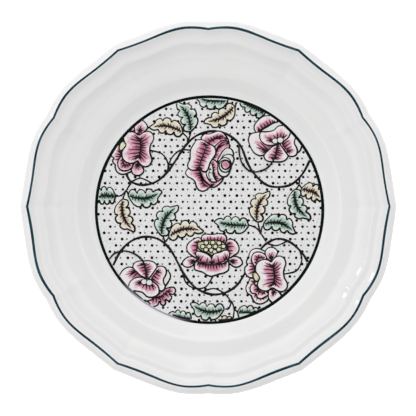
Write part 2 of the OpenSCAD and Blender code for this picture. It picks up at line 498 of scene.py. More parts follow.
@dataclass(frozen=True)
class BareBiscuit:
    """Unglazed fired clay, wiped clean of glaze on the foot: cream, chalky and finely gritty."""

    clay: str = "#E2D6C0"
    stain: str = "#C8B89C"
    roughness: float = 0.88
    grit_mm: float = 0.4
    stain_mm: float = 6.0

    def build(self) -> bpy.types.Material:
        """Builds the material."""
        material, shader = new_material("bare_biscuit")
        tree = material.node_tree
        place = add(tree, "TexCoord").outputs["Object"]
        wear = add(tree, "TexNoise", {"Vector": place, "Scale": repeats(self.stain_mm), "Detail": 6.0})
        colour = add(
            tree, "ValToRGB", {"Fac": wear.outputs["Fac"]}, ((0.4, self.clay), (0.72, self.stain))
        )
        grit = add(tree, "TexNoise", {"Vector": place, "Scale": repeats(self.grit_mm), "Detail": 4.0})
        rough = add(
            tree, "Bump", {"Height": grit.outputs["Fac"], "Strength": 0.5, "Distance": 0.08 * MM}
        )
        feed(tree, shader, {"Base Color": colour.outputs["Color"], "Normal": rough.outputs["Normal"]})
        feed(tree, shader, {"Roughness": self.roughness})
        return material


@dataclass(frozen=True)
class Enamel:
    """Enamel laid by hand inside the printed lines and fired on, with a slightly uneven hand.

    It is strong at the spine of a petal or leaf and washes out to the plate's white at its edge.
    """

    name: str
    stops: Stops
    unevenness: float = 0.16
    patch_mm: float = 2.6
    roughness: float = 0.2

    def build(self) -> bpy.types.Material:
        """Builds the material."""
        material, shader = new_material(self.name)
        tree = material.node_tree
        place = add(tree, "TexCoord").outputs["Object"]
        tint = add(tree, "Attribute", attribute_name="tint").outputs["Fac"]
        hand = add(tree, "TexNoise", {"Vector": place, "Scale": repeats(self.patch_mm), "Detail": 2.0})
        drift = add(
            tree,
            "MapRange",
            {0: hand.outputs["Fac"], 1: 0.3, 2: 0.7, 3: -self.unevenness, 4: self.unevenness},
        )
        moved = add(tree, "Math", {0: tint, 1: drift.outputs[0]}, operation="ADD")
        colour = add(tree, "ValToRGB", {"Fac": moved.outputs[0]}, self.stops)
        feed(tree, shader, {"Base Color": colour.outputs["Color"], "Roughness": self.roughness})
        feed(tree, shader, {"IOR": GLASS_IOR})
        return material


@dataclass(frozen=True)
class PrintInk:
    """Engraver's colour from a transfer: dense, with the faint mottle of the tissue it came on.

    A mark of 1 on a point turns the ink to its faded colour, where the tissue took badly.
    """

    name: str
    dense: str
    thin: str
    faded: str
    mottle_mm: float = 1.8
    roughness: float = 0.12
    gloss: float = 0.25

    def build(self) -> bpy.types.Material:
        """Builds the material."""
        material, shader = new_material(self.name)
        tree = material.node_tree
        place = add(tree, "TexCoord").outputs["Object"]
        fade = add(tree, "Attribute", attribute_name="fade").outputs["Fac"]
        mottle = add(tree, "TexNoise", {"Vector": place, "Scale": repeats(self.mottle_mm), "Detail": 3.0})
        ink = add(
            tree, "ValToRGB", {"Fac": mottle.outputs["Fac"]}, ((0.45, self.dense), (0.75, self.thin))
        )
        colour = add(
            tree,
            "Mix",
            {"Factor": fade, "A": ink.outputs["Color"], "B": linear(self.faded)},
            data_type="RGBA",
        )
        feed(tree, shader, {"Base Color": colour.outputs["Result"], "Roughness": self.roughness})
        feed(tree, shader, {"Specular IOR Level": self.gloss})
        return material


class Finish(Enum):
    """The plate's finishes, each with the recipe that builds it."""

    GLAZE = WhiteGlaze()
    BISCUIT = BareBiscuit()
    ROSE = Enamel(
        "rose_enamel",
        ((0.0, "#925270"), (0.22, "#BB748E"), (0.44, "#D59AAE"), (0.6, "#E5CBD3"), (0.74, "#E9E6E5")),
    )
    GREEN = Enamel(
        "green_enamel",
        ((0.0, "#5C7868"), (0.28, "#91AEA0"), (0.52, "#B9CDC2"), (0.74, "#D2DDD6"), (0.9, "#E6E9E6")),
    )
    YELLOW = Enamel(
        "yellow_enamel",
        ((0.0, "#885A54"), (0.22, "#C0A494"), (0.42, "#DBD4BD"), (0.75, "#E3E0D0"), (0.93, "#E8E6DE")),
    )
    OCHRE = Enamel(
        "ochre_enamel", ((0.0, "#E0DEC8"), (0.5, "#D3D1B0"), (0.8, "#9C9B70"), (1.0, "#5F5E42"))
    )
    WHITE = Enamel("white_reserve", ((0.0, "#DCDFDB"), (0.5, "#E2E2E0"), (1.0, "#E2E2E0")))
    KEY = PrintInk("key_ink", "#080608", "#151115", "#8E8699")
    GREY = PrintInk("grey_ink", "#3C393E", "#69666C", "#9C99A0")
    RING = PrintInk("ring_ink", "#030E0E", "#081D1C", "#A7A3B4", mottle_mm=7.0)
    TEAL = PrintInk("teal_paint", "#0F3441", "#285060", "#6C8792", mottle_mm=14.0)

    def material(self) -> bpy.types.Material:
        """Gives the finish's material, built the first time that it is asked for."""
        key = "finish_" + self.name.lower()
        for made in bpy.data.materials:
            if made.get("finish") == key:
                return made
        made = self.value.build()
        made["finish"] = key
        return made


# ---- The plate's form ----


@dataclass(frozen=True)
class Lobing:
    """The rim's twelve lobes: six outward corners with six inward notches between them.

    A soft crease runs in from each of them over the rim: a ridge from a notch, a valley from a
    corner.
    """

    swing: float = 1.13
    lift: float = 0.3
    ridge: float = 0.5
    valley: float = 0.55
    crease_turn: float = 1.2
    corner_turn: float = 60.0
    dip: float = 8.5
    bulge: float = 22.0
    corner_rise: float = 1.9
    notch_fall: float = 1.8
    notch_power: float = 1.6

    def from_corner(self, turn: float) -> float:
        """Gives the degrees between an angle and the nearest corner."""
        notch = self.corner_turn / 2
        return abs((turn + notch) % self.corner_turn - notch)

    def at(self, turn: float) -> float:
        """Gives the rim's swing at an angle.

        Args:
            turn: Degrees from +X.

        Returns:
            From -1, fully in, to 1, fully out.
        """
        u = self.from_corner(turn)
        if u < self.dip:
            return -1 + self.corner_rise * (1 - u / self.dip) ** 2
        if u < self.bulge:
            return -math.cos(math.pi * (u - self.dip) / (self.bulge - self.dip))
        inward = (u - self.bulge) / (self.corner_turn / 2 - self.bulge)
        return 1 - self.notch_fall * inward**self.notch_power

    def crease_at(self, turn: float) -> float:
        """Gives the height that the creases add at an angle.

        Args:
            turn: Degrees from +X.

        Returns:
            Millimetres, above 0 on a ridge.
        """
        u = self.from_corner(turn)
        ridge = self.ridge * math.exp(-(self.corner_turn / 2 - u) / self.crease_turn)
        return ridge - self.valley * math.exp(-u / self.crease_turn)


@dataclass
class PlateForm:
    """The clay form and its glaze, drawn as one smooth section and turned on the axis."""

    edge_r: float
    crest_z: float
    floor_z: float
    edge_w: float = 5.7
    band_w: float = 10.2
    slope_w: float = 12.3
    shelf_w: float = 10.7
    well_wall_w: float = 12.8
    shelf_rise: float = 6.0
    shelf_lift: float = 0.6
    slope_rise: float = 4.9
    lip_drop: float = 1.8
    wall: float = 4.6
    glaze: float = 0.3
    clay_gap: float = 0.02
    foot_out: float = 81.4
    foot_in: float = 78.4
    bare_z: float = 0.4
    recess_z: float = 2.4
    edge_fall: float = 0.35
    turns: int = 360
    steps: int = 4
    lobing: Lobing = field(default_factory=Lobing)

    def __post_init__(self) -> None:
        """Works out the section's places from the edge inwards."""
        self.crest_r = self.edge_r - self.edge_w
        self.band_r = self.crest_r - self.band_w
        self.slope_r = self.band_r - self.slope_w
        self.shelf_r = self.slope_r - self.shelf_w
        self.well_r = self.shelf_r - self.well_wall_w
        self.shelf_z = self.floor_z + self.shelf_rise
        self.slope_z = self.shelf_z + self.shelf_lift
        self.band_z = self.slope_z + self.slope_rise
        self.lip_z = self.crest_z - self.lip_drop
        self.face = flowing(self.face_points(), steps=self.steps)
        self.back = flowing(self.back_points(), steps=self.steps)

    def face_points(self) -> Outline:
        """Gives the section's face, from the middle of the well to the outermost edge."""
        return (
            (0.0, self.floor_z),
            (self.well_r * 0.35, self.floor_z),
            (self.well_r * 0.7, self.floor_z),
            (self.well_r - 4.0, self.floor_z),
            (self.well_r + 0.1, self.floor_z),
            (self.well_r + 2.4, self.floor_z + 0.76),
            (self.well_r + 5.2, self.floor_z + 2.2),
            (self.well_r + 8.6, self.floor_z + 3.95),
            (self.shelf_r - 1.2, self.shelf_z - 0.6),
            (self.shelf_r + 2.0, self.shelf_z + 0.05),
            (self.slope_r - 3.5, self.shelf_z + 0.3),
            (self.slope_r + 0.5, self.slope_z + 0.05),
            (self.slope_r + 4.2, self.slope_z + 1.15),
            (self.slope_r + 8.2, self.slope_z + 3.1),
            (self.band_r - 1.2, self.band_z - 0.15),
            (self.band_r, self.band_z + 0.3),
            (self.band_r + 1.3, self.band_z + 0.42),
            (self.band_r + 4.0, self.band_z + 0.6),
            (self.crest_r - 3.4, self.lip_z + 0.2),
            (self.crest_r - 1.3, self.crest_z - 0.35),
            (self.crest_r, self.crest_z),
            (self.crest_r + 1.6, self.crest_z - 0.35),
            (self.edge_r - 2.0, self.crest_z - 1.5),
            (self.edge_r - 0.6, self.crest_z - 2.7),
            (self.edge_r, self.crest_z - 4.0),
        )

    def back_points(self) -> Outline:
        """Gives the section's back, from the outermost edge to the foot ring."""
        return (
            (self.edge_r, self.crest_z - 4.0),
            (self.edge_r - 0.6, self.crest_z - 5.0),
            (self.edge_r - 2.4, self.crest_z - 5.8),
            (self.crest_r, self.lip_z - self.wall + 0.4),
            (self.band_r + 3.0, self.band_z - self.wall + 0.6),
            (self.slope_r + 4.5, self.slope_z - self.wall + 0.9),
            (self.shelf_r + 1.0, self.shelf_z - self.wall),
            (self.well_r + 8.0, self.floor_z + 3.6 - self.wall),
            (self.well_r + 1.0, self.floor_z + 0.6 - self.wall),
            (self.foot_out + 0.5, self.bare_z),
        )

    def recess_points(self) -> Outline:
        """Gives the section of the recess, from the foot ring to the axis."""
        return (
            (self.foot_in - 0.5, self.bare_z),
            (self.foot_in - 1.1, self.recess_z - 0.5),
            (self.foot_in - 2.4, self.recess_z),
            (self.foot_in * 0.5, self.recess_z),
            (0.0, self.recess_z),
        )

    def foot_points(self) -> Outline:
        """Gives the section of the bare foot ring, from its outside to its inside."""
        return (
            (self.foot_out + 0.1, self.bare_z),
            (self.foot_out, 0.08),
            (self.foot_out - 0.15, 0.0),
            (self.foot_in + 0.15, 0.0),
            (self.foot_in, 0.08),
            (self.foot_in - 0.1, self.bare_z),
        )

    def height_at(self, radius: float) -> float:
        """Gives the height of the face.

        Args:
            radius: Distance from the axis, before the lobing.

        Returns:
            The height of the glaze there.
        """
        for a, b in zip(self.face, self.face[1:]):
            if a.x <= radius <= b.x:
                return a.y + (b.y - a.y) * (radius - a.x) / max(b.x - a.x, 1e-9)
        return self.face[-1].y

    def share_at(self, radius: float) -> float:
        """Gives the share of the crest's swing that the form follows at a radius.

        Args:
            radius: Distance from the axis.

        Returns:
            From 0, a true circle, to 1, as lobed as the crest.
        """
        rise = eased(self.shelf_r + 2.0, self.band_r, radius)
        return rise * (1 - self.edge_fall * eased(self.crest_r + 0.5, self.edge_r, radius))

    def lobed(self, piece: bpy.types.Object) -> None:
        """Moves a turned piece's points in and out with the lobes of the rim.

        Args:
            piece: The piece, turned on the axis in millimetres.
        """
        for vertex in piece.data.vertices:
            radius = math.hypot(vertex.co.x, vertex.co.y)
            if radius <= self.shelf_r:
                continue
            turn = math.degrees(math.atan2(vertex.co.y, vertex.co.x))
            swing = self.share_at(radius) * self.lobing.at(turn)
            grown = (radius + swing * self.lobing.swing) / radius
            vertex.co.x *= grown
            vertex.co.y *= grown
            fades = eased(self.shelf_r, self.slope_r, radius) - eased(
                self.crest_r - 2.0, self.crest_r + 1.0, radius
            )
            vertex.co.z += swing * self.lobing.lift + fades * self.lobing.crease_at(turn)

    def turned(self, section: Sequence[Vector], name: str, closed: bool = False) -> bpy.types.Object:
        """Draws a section with the extrude operator and spins it round the axis.

        Args:
            section: The section's points, as radius and height.
            name: The piece's name.
            closed: Whether the section's last point joins its first.

        Returns:
            The turned piece.
        """
        deselect()
        bpy.ops.mesh.primitive_plane_add(size=1.0, location=(0.0, 0.0, 0.0))
        piece = bpy.context.object
        piece.name = name
        path = list(section) + ([section[0]] if closed else [])
        with edit_mode():
            bpy.ops.mesh.merge(type="CENTER")
            bpy.ops.transform.translate(value=(path[0].x, 0.0, path[0].y))
            for a, b in zip(path, path[1:]):
                step = (b.x - a.x, 0.0, b.y - a.y)
                bpy.ops.mesh.extrude_region_move(TRANSFORM_OT_translate={"value": step})
            bpy.ops.mesh.select_all(action="SELECT")
            bpy.ops.mesh.spin(
                steps=self.turns, angle=2 * math.pi, center=(0.0, 0.0, 0.0), axis=(0.0, 0.0, 1.0)
            )
            bpy.ops.mesh.select_all(action="SELECT")
            bpy.ops.mesh.remove_doubles(threshold=0.001)
            bpy.ops.mesh.normals_make_consistent(inside=False)
        return piece

    def faces_outward(self, piece: bpy.types.Object, upward: bool) -> None:
        """Turns an open shell over where it came out inside out.

        Args:
            piece: The shell.
            upward: Whether the face nearest the axis points up.
        """
        middle = min(piece.data.polygons, key=lambda f: f.center.xy.length)
        if (middle.normal.z > 0) != upward:
            pick(piece)
            with edit_mode():
                bpy.ops.mesh.flip_normals()

    def inset(self, section: Sequence[Vector], depth: float) -> list[Vector]:
        """Moves a section inwards, square to itself.

        Args:
            section: The section's points, going round with the clay on their right.
            depth: How far to move them.

        Returns:
            The moved points.
        """
        moved = []
        last = len(section) - 1
        for i, point in enumerate(section):
            way = (section[min(i + 1, last)] - section[max(i - 1, 0)]).normalized()
            shifted = point + Vector((way.y, -way.x)) * depth
            moved.append(Vector((max(shifted.x, 0.0), shifted.y)))
        moved[0].x, moved[-1].x = section[0].x, section[-1].x
        return moved

    def build(self) -> None:
        """Builds the glaze and the clay inside it."""
        skin = self.face + self.back[1:]
        recess = flowing(self.recess_points(), steps=self.steps)
        shell = self.turned(skin, "glaze")
        self.faces_outward(shell, upward=True)
        self.lobed(shell)
        base = self.turned(recess, "recess_glaze")
        self.faces_outward(base, upward=False)
        for coat in (shell, base):
            apply_modifier(coat, "SOLIDIFY", thickness=self.glaze, offset=-1.0)
        glaze = joined([shell, base], "glaze")
        smooth(glaze, 50.0)
        placed(glaze, Finish.GLAZE.material(), "glaze", "glaze_coat")

        inner = self.glaze + self.clay_gap
        foot = [Vector(p) for p in self.foot_points()]
        section = self.inset(skin, inner)[:-1] + foot + self.inset(recess, inner)[1:]
        clay = self.turned(section, "biscuit")
        self.lobed(clay)
        smooth(clay, 40.0)
        placed(clay, Finish.BISCUIT.material(), "clay", "plate_body")


@dataclass
class RoundLine:
    """A line of colour that runs all the way round the plate, of a hand-made uneven width."""

    name: str
    radius: float
    width: float
    finish: Finish
    slot: str
    node: str
    waver: tuple[tuple[int, float], ...] = ((3, 0.1), (7, 0.07), (17, 0.05))
    fade_from: float = 0.0
    fade_to: float = 0.0
    crown: float = 0.07
    across: int = 8
    sunk: float = 0.05
    fade_edge: float = 8.0
    fade_thins: float = 0.35
    shift: Place3 = (0.0, 0.0, 0.0)

    def width_share(self, turn: float) -> float:
        """Gives the line's width at an angle, as a share of its usual width."""
        return 1 + sum(a * math.sin(math.radians(n * turn) + 1.3 * n) for n, a in self.waver)

    def fade_at(self, turn: float) -> float:
        """Gives how far the line has faded at an angle, from 0 to 1."""
        if self.fade_to <= self.fade_from:
            return 0.0
        edge = self.fade_edge
        begun = eased(self.fade_from - edge, self.fade_from + edge, turn)
        return begun * (1 - eased(self.fade_to - edge, self.fade_to + edge, turn))

    def build(self, form: PlateForm) -> None:
        """Builds the line on the plate's face.

        Args:
            form: The plate's form.
        """
        half = self.width / 2
        places = [self.radius - half + self.width * k / self.across for k in range(self.across + 1)]
        top = [Vector((r, self.crown * (1 - ((r - self.radius) / half) ** 2))) for r in places]
        under = [Vector((r, -self.sunk)) for r in reversed(places)]
        line = form.turned(top + under, self.name, closed=True)
        fades = []
        for vertex in line.data.vertices:
            turn = math.degrees(math.atan2(vertex.co.y, vertex.co.x)) % 360
            fade = self.fade_at(turn)
            radius = vertex.co.xy.length
            share = self.width_share(turn) * (1 - self.fade_thins * fade)
            moved = self.radius + (radius - self.radius) * share
            vertex.co.x *= moved / radius
            vertex.co.y *= moved / radius
            vertex.co.z += form.height_at((vertex.co.xy + Vector(self.shift[:2])).length)
            fades.append(fade)
        mark(line, "fade", fades)
        form.lobed(line)
        smooth(line, 60.0)
        placed(line, self.finish.material(), self.slot, self.node, shift=self.shift)


# ---- Petals, leaves and strokes ----

# The share of a round stroke's thickness that is left when it is pressed flat
PRESS = 0.03


@dataclass(frozen=True)
class Shape:
    """One closed patch of enamel with its printed outline, and strokes that spread from a spine."""

    outline: Outline
    spine: Outline
    finish: Finish = Finish.ROSE
    strokes: int = 16
    reach: float = 0.58
    stroke_w: float = 0.95
    line_w: float = 1.15
    pull: float = 0.75
    depth: float = 1.0
    lift: float = 0.0
    slant: int = 0
    spine_w: float = 0.7

    def moved(self, place: Callable[[Point], Point]) -> "Shape":
        """Gives the same shape with each point sent through a placing rule."""
        edge, spine = (tuple(place(p) for p in line) for line in (self.outline, self.spine))
        return replace(self, outline=edge, spine=spine)


@dataclass
class Blank:
    """A round blank of enamel, modelled once and then laid into every petal and leaf."""

    sides: int = 96
    rings: tuple[float, ...] = (0.86, 0.7, 0.54, 0.38, 0.22, 0.08)

    def build(self) -> bpy.types.Object:
        """Models the blank as a disc of radius 1 with rings inset in it and a wall round it."""
        deselect()
        bpy.ops.mesh.primitive_circle_add(vertices=self.sides, radius=1.0, fill_type="NGON")
        blank = bpy.context.object
        blank.name = "enamel_blank"
        with edit_mode():
            bpy.ops.mesh.select_mode(type="FACE")
            bpy.ops.mesh.select_all(action="SELECT")
            for before, ring in zip((1.0,) + self.rings, self.rings):
                step = (before - ring) * math.cos(math.pi / self.sides)
                bpy.ops.mesh.inset(thickness=step, depth=0.0)
            bpy.ops.mesh.poke()
            bpy.ops.mesh.select_mode(type="EDGE")
            bpy.ops.mesh.select_all(action="DESELECT")
            bpy.ops.mesh.select_non_manifold()
            bpy.ops.mesh.extrude_edges_move(TRANSFORM_OT_translate={"value": (0.0, 0.0, -1.0)})
            bpy.ops.mesh.edge_face_add()
            bpy.ops.mesh.select_all(action="SELECT")
            bpy.ops.mesh.normals_make_consistent(inside=False)
        return blank


@dataclass
class Stroke:
    """A printed stroke: a path with a width at each of its points."""

    path: list[Vector]
    widths: list[float]
    height: float


def strokes_inside(
    path: Sequence[Vector], widths: Sequence[float], height: float, limit: float
) -> list[Stroke]:
    """Makes strokes of the runs of a path that lie inside a radius.

    Args:
        path: The path's points.
        widths: The stroke's width at each point.
        height: The height of its middle.
        limit: The radius.

    Returns:
        The strokes.
    """
    strokes = []
    for inside, run in groupby(zip(path, widths), key=lambda knot: knot[0].length < limit):
        knots = list(run)
        if inside and len(knots) > 1:
            strokes.append(Stroke([p for p, _ in knots], [w for _, w in knots], height))
    return strokes


def pressed(strokes: Iterable[Stroke], name: str) -> bpy.types.Object:
    """Draws strokes as round bevelled curves and presses them flat on their layers.

    Args:
        strokes: The strokes.
        name: The piece's name.

    Returns:
        One mesh of all the strokes, in millimetres.
    """
    deselect()
    bpy.ops.object.add(type="CURVE", location=(0.0, 0.0, 0.0))
    piece = bpy.context.object
    piece.name = name
    curve = piece.data
    curve.dimensions = "3D"
    curve.twist_mode = "Z_UP"
    curve.bevel_depth = 0.5
    curve.bevel_resolution = 0
    curve.use_fill_caps = True
    for stroke in strokes:
        spline = curve.splines.new("POLY")
        spline.points.add(len(stroke.path) - 1)
        for knot, point, width in zip(spline.points, stroke.path, stroke.widths):
            knot.co = (point.x, point.y, stroke.height / PRESS, 1.0)
            knot.radius = width
    pick(piece)
    bpy.ops.object.convert(target="MESH")
    piece = bpy.context.object
    bpy.ops.transform.resize(value=(1.0, 1.0, PRESS), center_override=(0.0, 0.0, 0.0))
    bpy.ops.object.transform_apply(location=True, rotation=True, scale=True)
    return piece


@dataclass
class Well:
    """The print and enamel in the well, built up in layers as it was put on the plate."""

    floor_z: float
    ring_r: float
    shift: Place3
    layer: float = 0.02
    leaf_level: int = 5
    flower_level: int = 6
    clip: float = 0.25
    sunk: float = 0.02
    shortest: float = 0.9
    blank: Blank = field(default_factory=Blank)

    # Outlines are heavier on their lower right, as an engraver shades them
    HEAVY_SIDE = Vector((0.45, -0.89))

    def __post_init__(self) -> None:
        """Starts with an empty well."""
        self.model = self.blank.build()
        self.patches: dict[Finish, list[bpy.types.Object]] = {}
        self.strokes: list[Stroke] = []
        self.level = self.leaf_level

    def held(self, point: Vector) -> Vector:
        """Brings a point that lies outside the printed ring back under it."""
        limit = self.ring_r - self.clip
        return point if point.length <= limit else point * (limit / point.length)

    def top(self) -> float:
        """Gives the height of the layer that is being laid."""
        return self.floor_z + self.level * self.layer

    def draw(self, path: Sequence[Vector], widths: Sequence[float], height: float) -> None:
        """Adds a stroke of the key ink, leaving out what lies outside the printed ring."""
        self.strokes += strokes_inside(path, widths, height, self.ring_r)

    def lay(self, shape: Shape) -> None:
        """Lays a shape on top of what is there: its enamel, its strokes and its outline.

        Args:
            shape: The shape.
        """
        raw = evenly(flowing(shape.outline, True), self.blank.sides, True)
        edge = [self.held(p) for p in raw]
        spine = [self.held(p) for p in flowing(shape.spine)]
        middle = spine[len(spine) // 2]
        roots = [nearest_on(spine, middle.lerp(p, shape.pull)) for p in edge]
        self.level += 1
        self.fill(edge, roots, shape)
        self.shade(edge, roots, spine, shape)
        weights = []
        for k, point in enumerate(raw):
            facing = (point - middle).normalized().dot(self.HEAVY_SIDE)
            waver = 0.1 * math.sin(0.2 * k + self.level)
            weights.append(shape.line_w * (0.95 + 0.2 * facing + waver))
        self.draw(raw + raw[:1], weights + weights[:1], self.top() + 0.2 * self.layer)

    def fill(self, edge: Sequence[Vector], roots: Sequence[Vector], shape: Shape) -> None:
        """Lays the enamel blank into an outline.

        Args:
            edge: The outline's points, one for each side of the blank.
            roots: The spine's point for each of them.
            shape: The shape that is being laid.
        """
        patch = copied(self.model, shape.finish.name.lower())
        tints = []
        for vertex in patch.data.vertices:
            out = vertex.co.xy.length
            turn = math.atan2(vertex.co.y, vertex.co.x) / (2 * math.pi)
            k = round(turn * self.blank.sides) % self.blank.sides
            root = roots[k] if out > 0.01 else roots[0]
            flat = root.lerp(edge[k], out) if out > 0.01 else sum(roots, Vector((0, 0))) / len(roots)
            height = self.top() if vertex.co.z > -0.5 else self.floor_z - self.sunk
            vertex.co = (flat.x, flat.y, height)
            tints.append(shape.lift + out * shape.depth)
        mark(patch, "tint", tints)
        self.patches.setdefault(shape.finish, []).append(patch)

    def shade(
        self, edge: Sequence[Vector], roots: Sequence[Vector], spine: Sequence[Vector], shape: Shape
    ) -> None:
        """Draws the strokes that spread from a shape's spine.

        Args:
            edge: The outline's points.
            roots: The spine's point for each of them.
            spine: The spine's points.
            shape: The shape that is being laid.
        """
        height = self.top() + 0.12 * self.layer
        for j in range(shape.strokes):
            k = int((j + 0.5) * len(edge) / shape.strokes)
            reach = shape.reach * (1.0, 0.8, 0.92)[j % 3]
            near = (roots[k - shape.slant], roots[(k + shape.slant) % len(roots)])
            start = min(near, key=lambda root: (root - spine[0]).length)
            end = start.lerp(edge[k], reach)
            if (end - start).length < self.shortest:
                continue
            path = [start.lerp(end, t) for t in (0.0, 0.35, 0.7, 1.0)]
            widths = [shape.stroke_w * w for w in (1.15, 1.05, 0.75, 0.25)]
            self.draw(path, widths, height)
        if shape.strokes:
            path = evenly(spine, 12)
            last = len(path) - 1
            swell = [0.35 + 1.1 * math.sin(math.pi * i / last) ** 0.7 for i in range(last + 1)]
            self.draw(path, [shape.stroke_w * s * shape.spine_w for s in swell], height)

    def finish_patches(self) -> None:
        """Joins the enamel of each colour into one piece."""
        labels = {
            Finish.ROSE: ("rose_petals_visible", "rose_enamel", "rose_petals"),
            Finish.GREEN: ("green_leaves_enamel_visible", "green_enamel", "green_leaves"),
            Finish.YELLOW: ("yellow_leaves_enamel_visible", "yellow_enamel", "yellow_leaves"),
            Finish.OCHRE: ("ochre_centres_visible", "centre_enamel", "flower_centres"),
            Finish.WHITE: ("white_reserves_visible", "glaze"),
        }
        for finish, patches in self.patches.items():
            name, slot, *nodes = labels[finish]
            placed(joined(patches, name), finish.material(), slot, *nodes, shift=self.shift)
        bpy.data.objects.remove(self.model)

    def finish_strokes(self) -> None:
        """Makes the outlines and shading strokes one piece."""
        piece = pressed(self.strokes, "key_print")
        placed(piece, Finish.KEY.material(), "key_ink", "outline_print", shift=self.shift)


# ---- Motifs ----


PEONY: tuple[Shape, ...] = (
    Shape(
        ((-6, -16.3), (-8, -18.3), (-11, -19.5), (-14, -19.5), (-16.8, -17.8), (-18.2, -14.5),
         (-18, -12.8), (-19.5, -11.3), (-20, -9.3), (-19, -7.8), (-20.7, -6.3), (-21.3, -4.3),
         (-20.8, -1.5), (-19, 0.7), (-16.5, 1.9), (-12, 0), (-10, -8)),
        ((-13.5, -0.5), (-14.3, -6), (-13, -10.5), (-9, -13)),
        strokes=17, reach=0.8,
    ),
    Shape(
        ((-16.5, 2.2), (-18, 3.7), (-18.5, 5.7), (-20, 7.7), (-20.3, 10.2), (-19.3, 12.9),
         (-16.6, 14.8), (-15.8, 16.7), (-14.3, 19.3), (-12, 20.7), (-9, 20.9), (-6, 19.5),
         (-4, 17.7), (-3.5, 15), (-9, 10), (-12, 4)),
        ((-14, 3.5), (-14.5, 8), (-13, 12.5), (-8, 15)),
        strokes=16, reach=0.8,
    ),
    Shape(
        ((-5.5, -12), (-6, -14.8), (-9.5, -16.9), (-13, -16.9), (-15.3, -15.3), (-16.3, -12.3),
         (-15.8, -9.3), (-13.5, -6.5), (-11, -9)),
        ((-8, -12.8), (-11.5, -12.8), (-13, -9.5)),
        strokes=9, reach=0.62,
    ),
    Shape(
        ((-14.5, 6.5), (-16.8, 8), (-17.3, 10.6), (-16, 13), (-13, 13.6), (-12, 16.2), (-9.5, 17.2),
         (-6.5, 16), (-4, 13.5), (-9, 9.5)),
        ((-12.3, 8), (-11.5, 11.5), (-7.5, 12.8)),
        strokes=9, reach=0.62,
    ),
    Shape(
        ((-15, -1.8), (-13, -2), (-11, 0.2), (-9.8, 1.8), (-11, 3.7), (-12.4, 4.7), (-14.3, 3.2),
         (-15.3, 0.7)),
        ((-13.5, 2.6), (-12.6, -0.2)), Finish.OCHRE, strokes=0,
    ),
    Shape(
        ((-4.3, -12), (-6.1, -15.3), (-6, -17.8), (-4.5, -19.8), (-1.5, -20.6), (1.5, -19.3),
         (2.8, -16.8), (1.5, -13.8), (-1, -10.5)),
        ((-1.6, -10.2), (-1.8, -11.8)),
        strokes=8, reach=0.62,
    ),
    Shape(
        ((-3, 9.5), (-4, 13.7), (-3.8, 16.7), (-2, 19.2), (0.3, 20.5), (3, 19.2), (5.5, 15.6),
         (4.5, 13), (1, 10)),
        ((-0.9, 10), (-0.3, 11.6)),
        strokes=8, reach=0.62,
    ),
    Shape(
        ((-1, 9.2), (2, 11), (4.7, 12), (7.2, 11.7), (9.3, 9.8), (10, 7.2), (9.4, 4.8), (8, 2.5),
         (7.3, 0), (7.2, -2.8), (7.8, -5.5), (8.7, -8), (8.5, -10.6), (6.9, -13), (4.4, -14.1),
         (1.8, -13.5), (-0.4, -11.5), (-1.8, -9.6), (-4, -11), (-7, -11.6), (-10, -10.8),
         (-12.4, -8.6), (-13.3, -5.5), (-13, -2.5), (-11.2, 0), (-10.2, 2.2), (-11.3, 4.5),
         (-11.9, 7.5), (-10.2, 10.2), (-7, 11.5), (-4, 11.2)),
        ((-0.9, 7.8), (0.2, 4), (0.6, 0), (0, -4), (-1.5, -8.4)),
        strokes=25, reach=0.68, pull=0.46, spine_w=1.0,
    ),
)

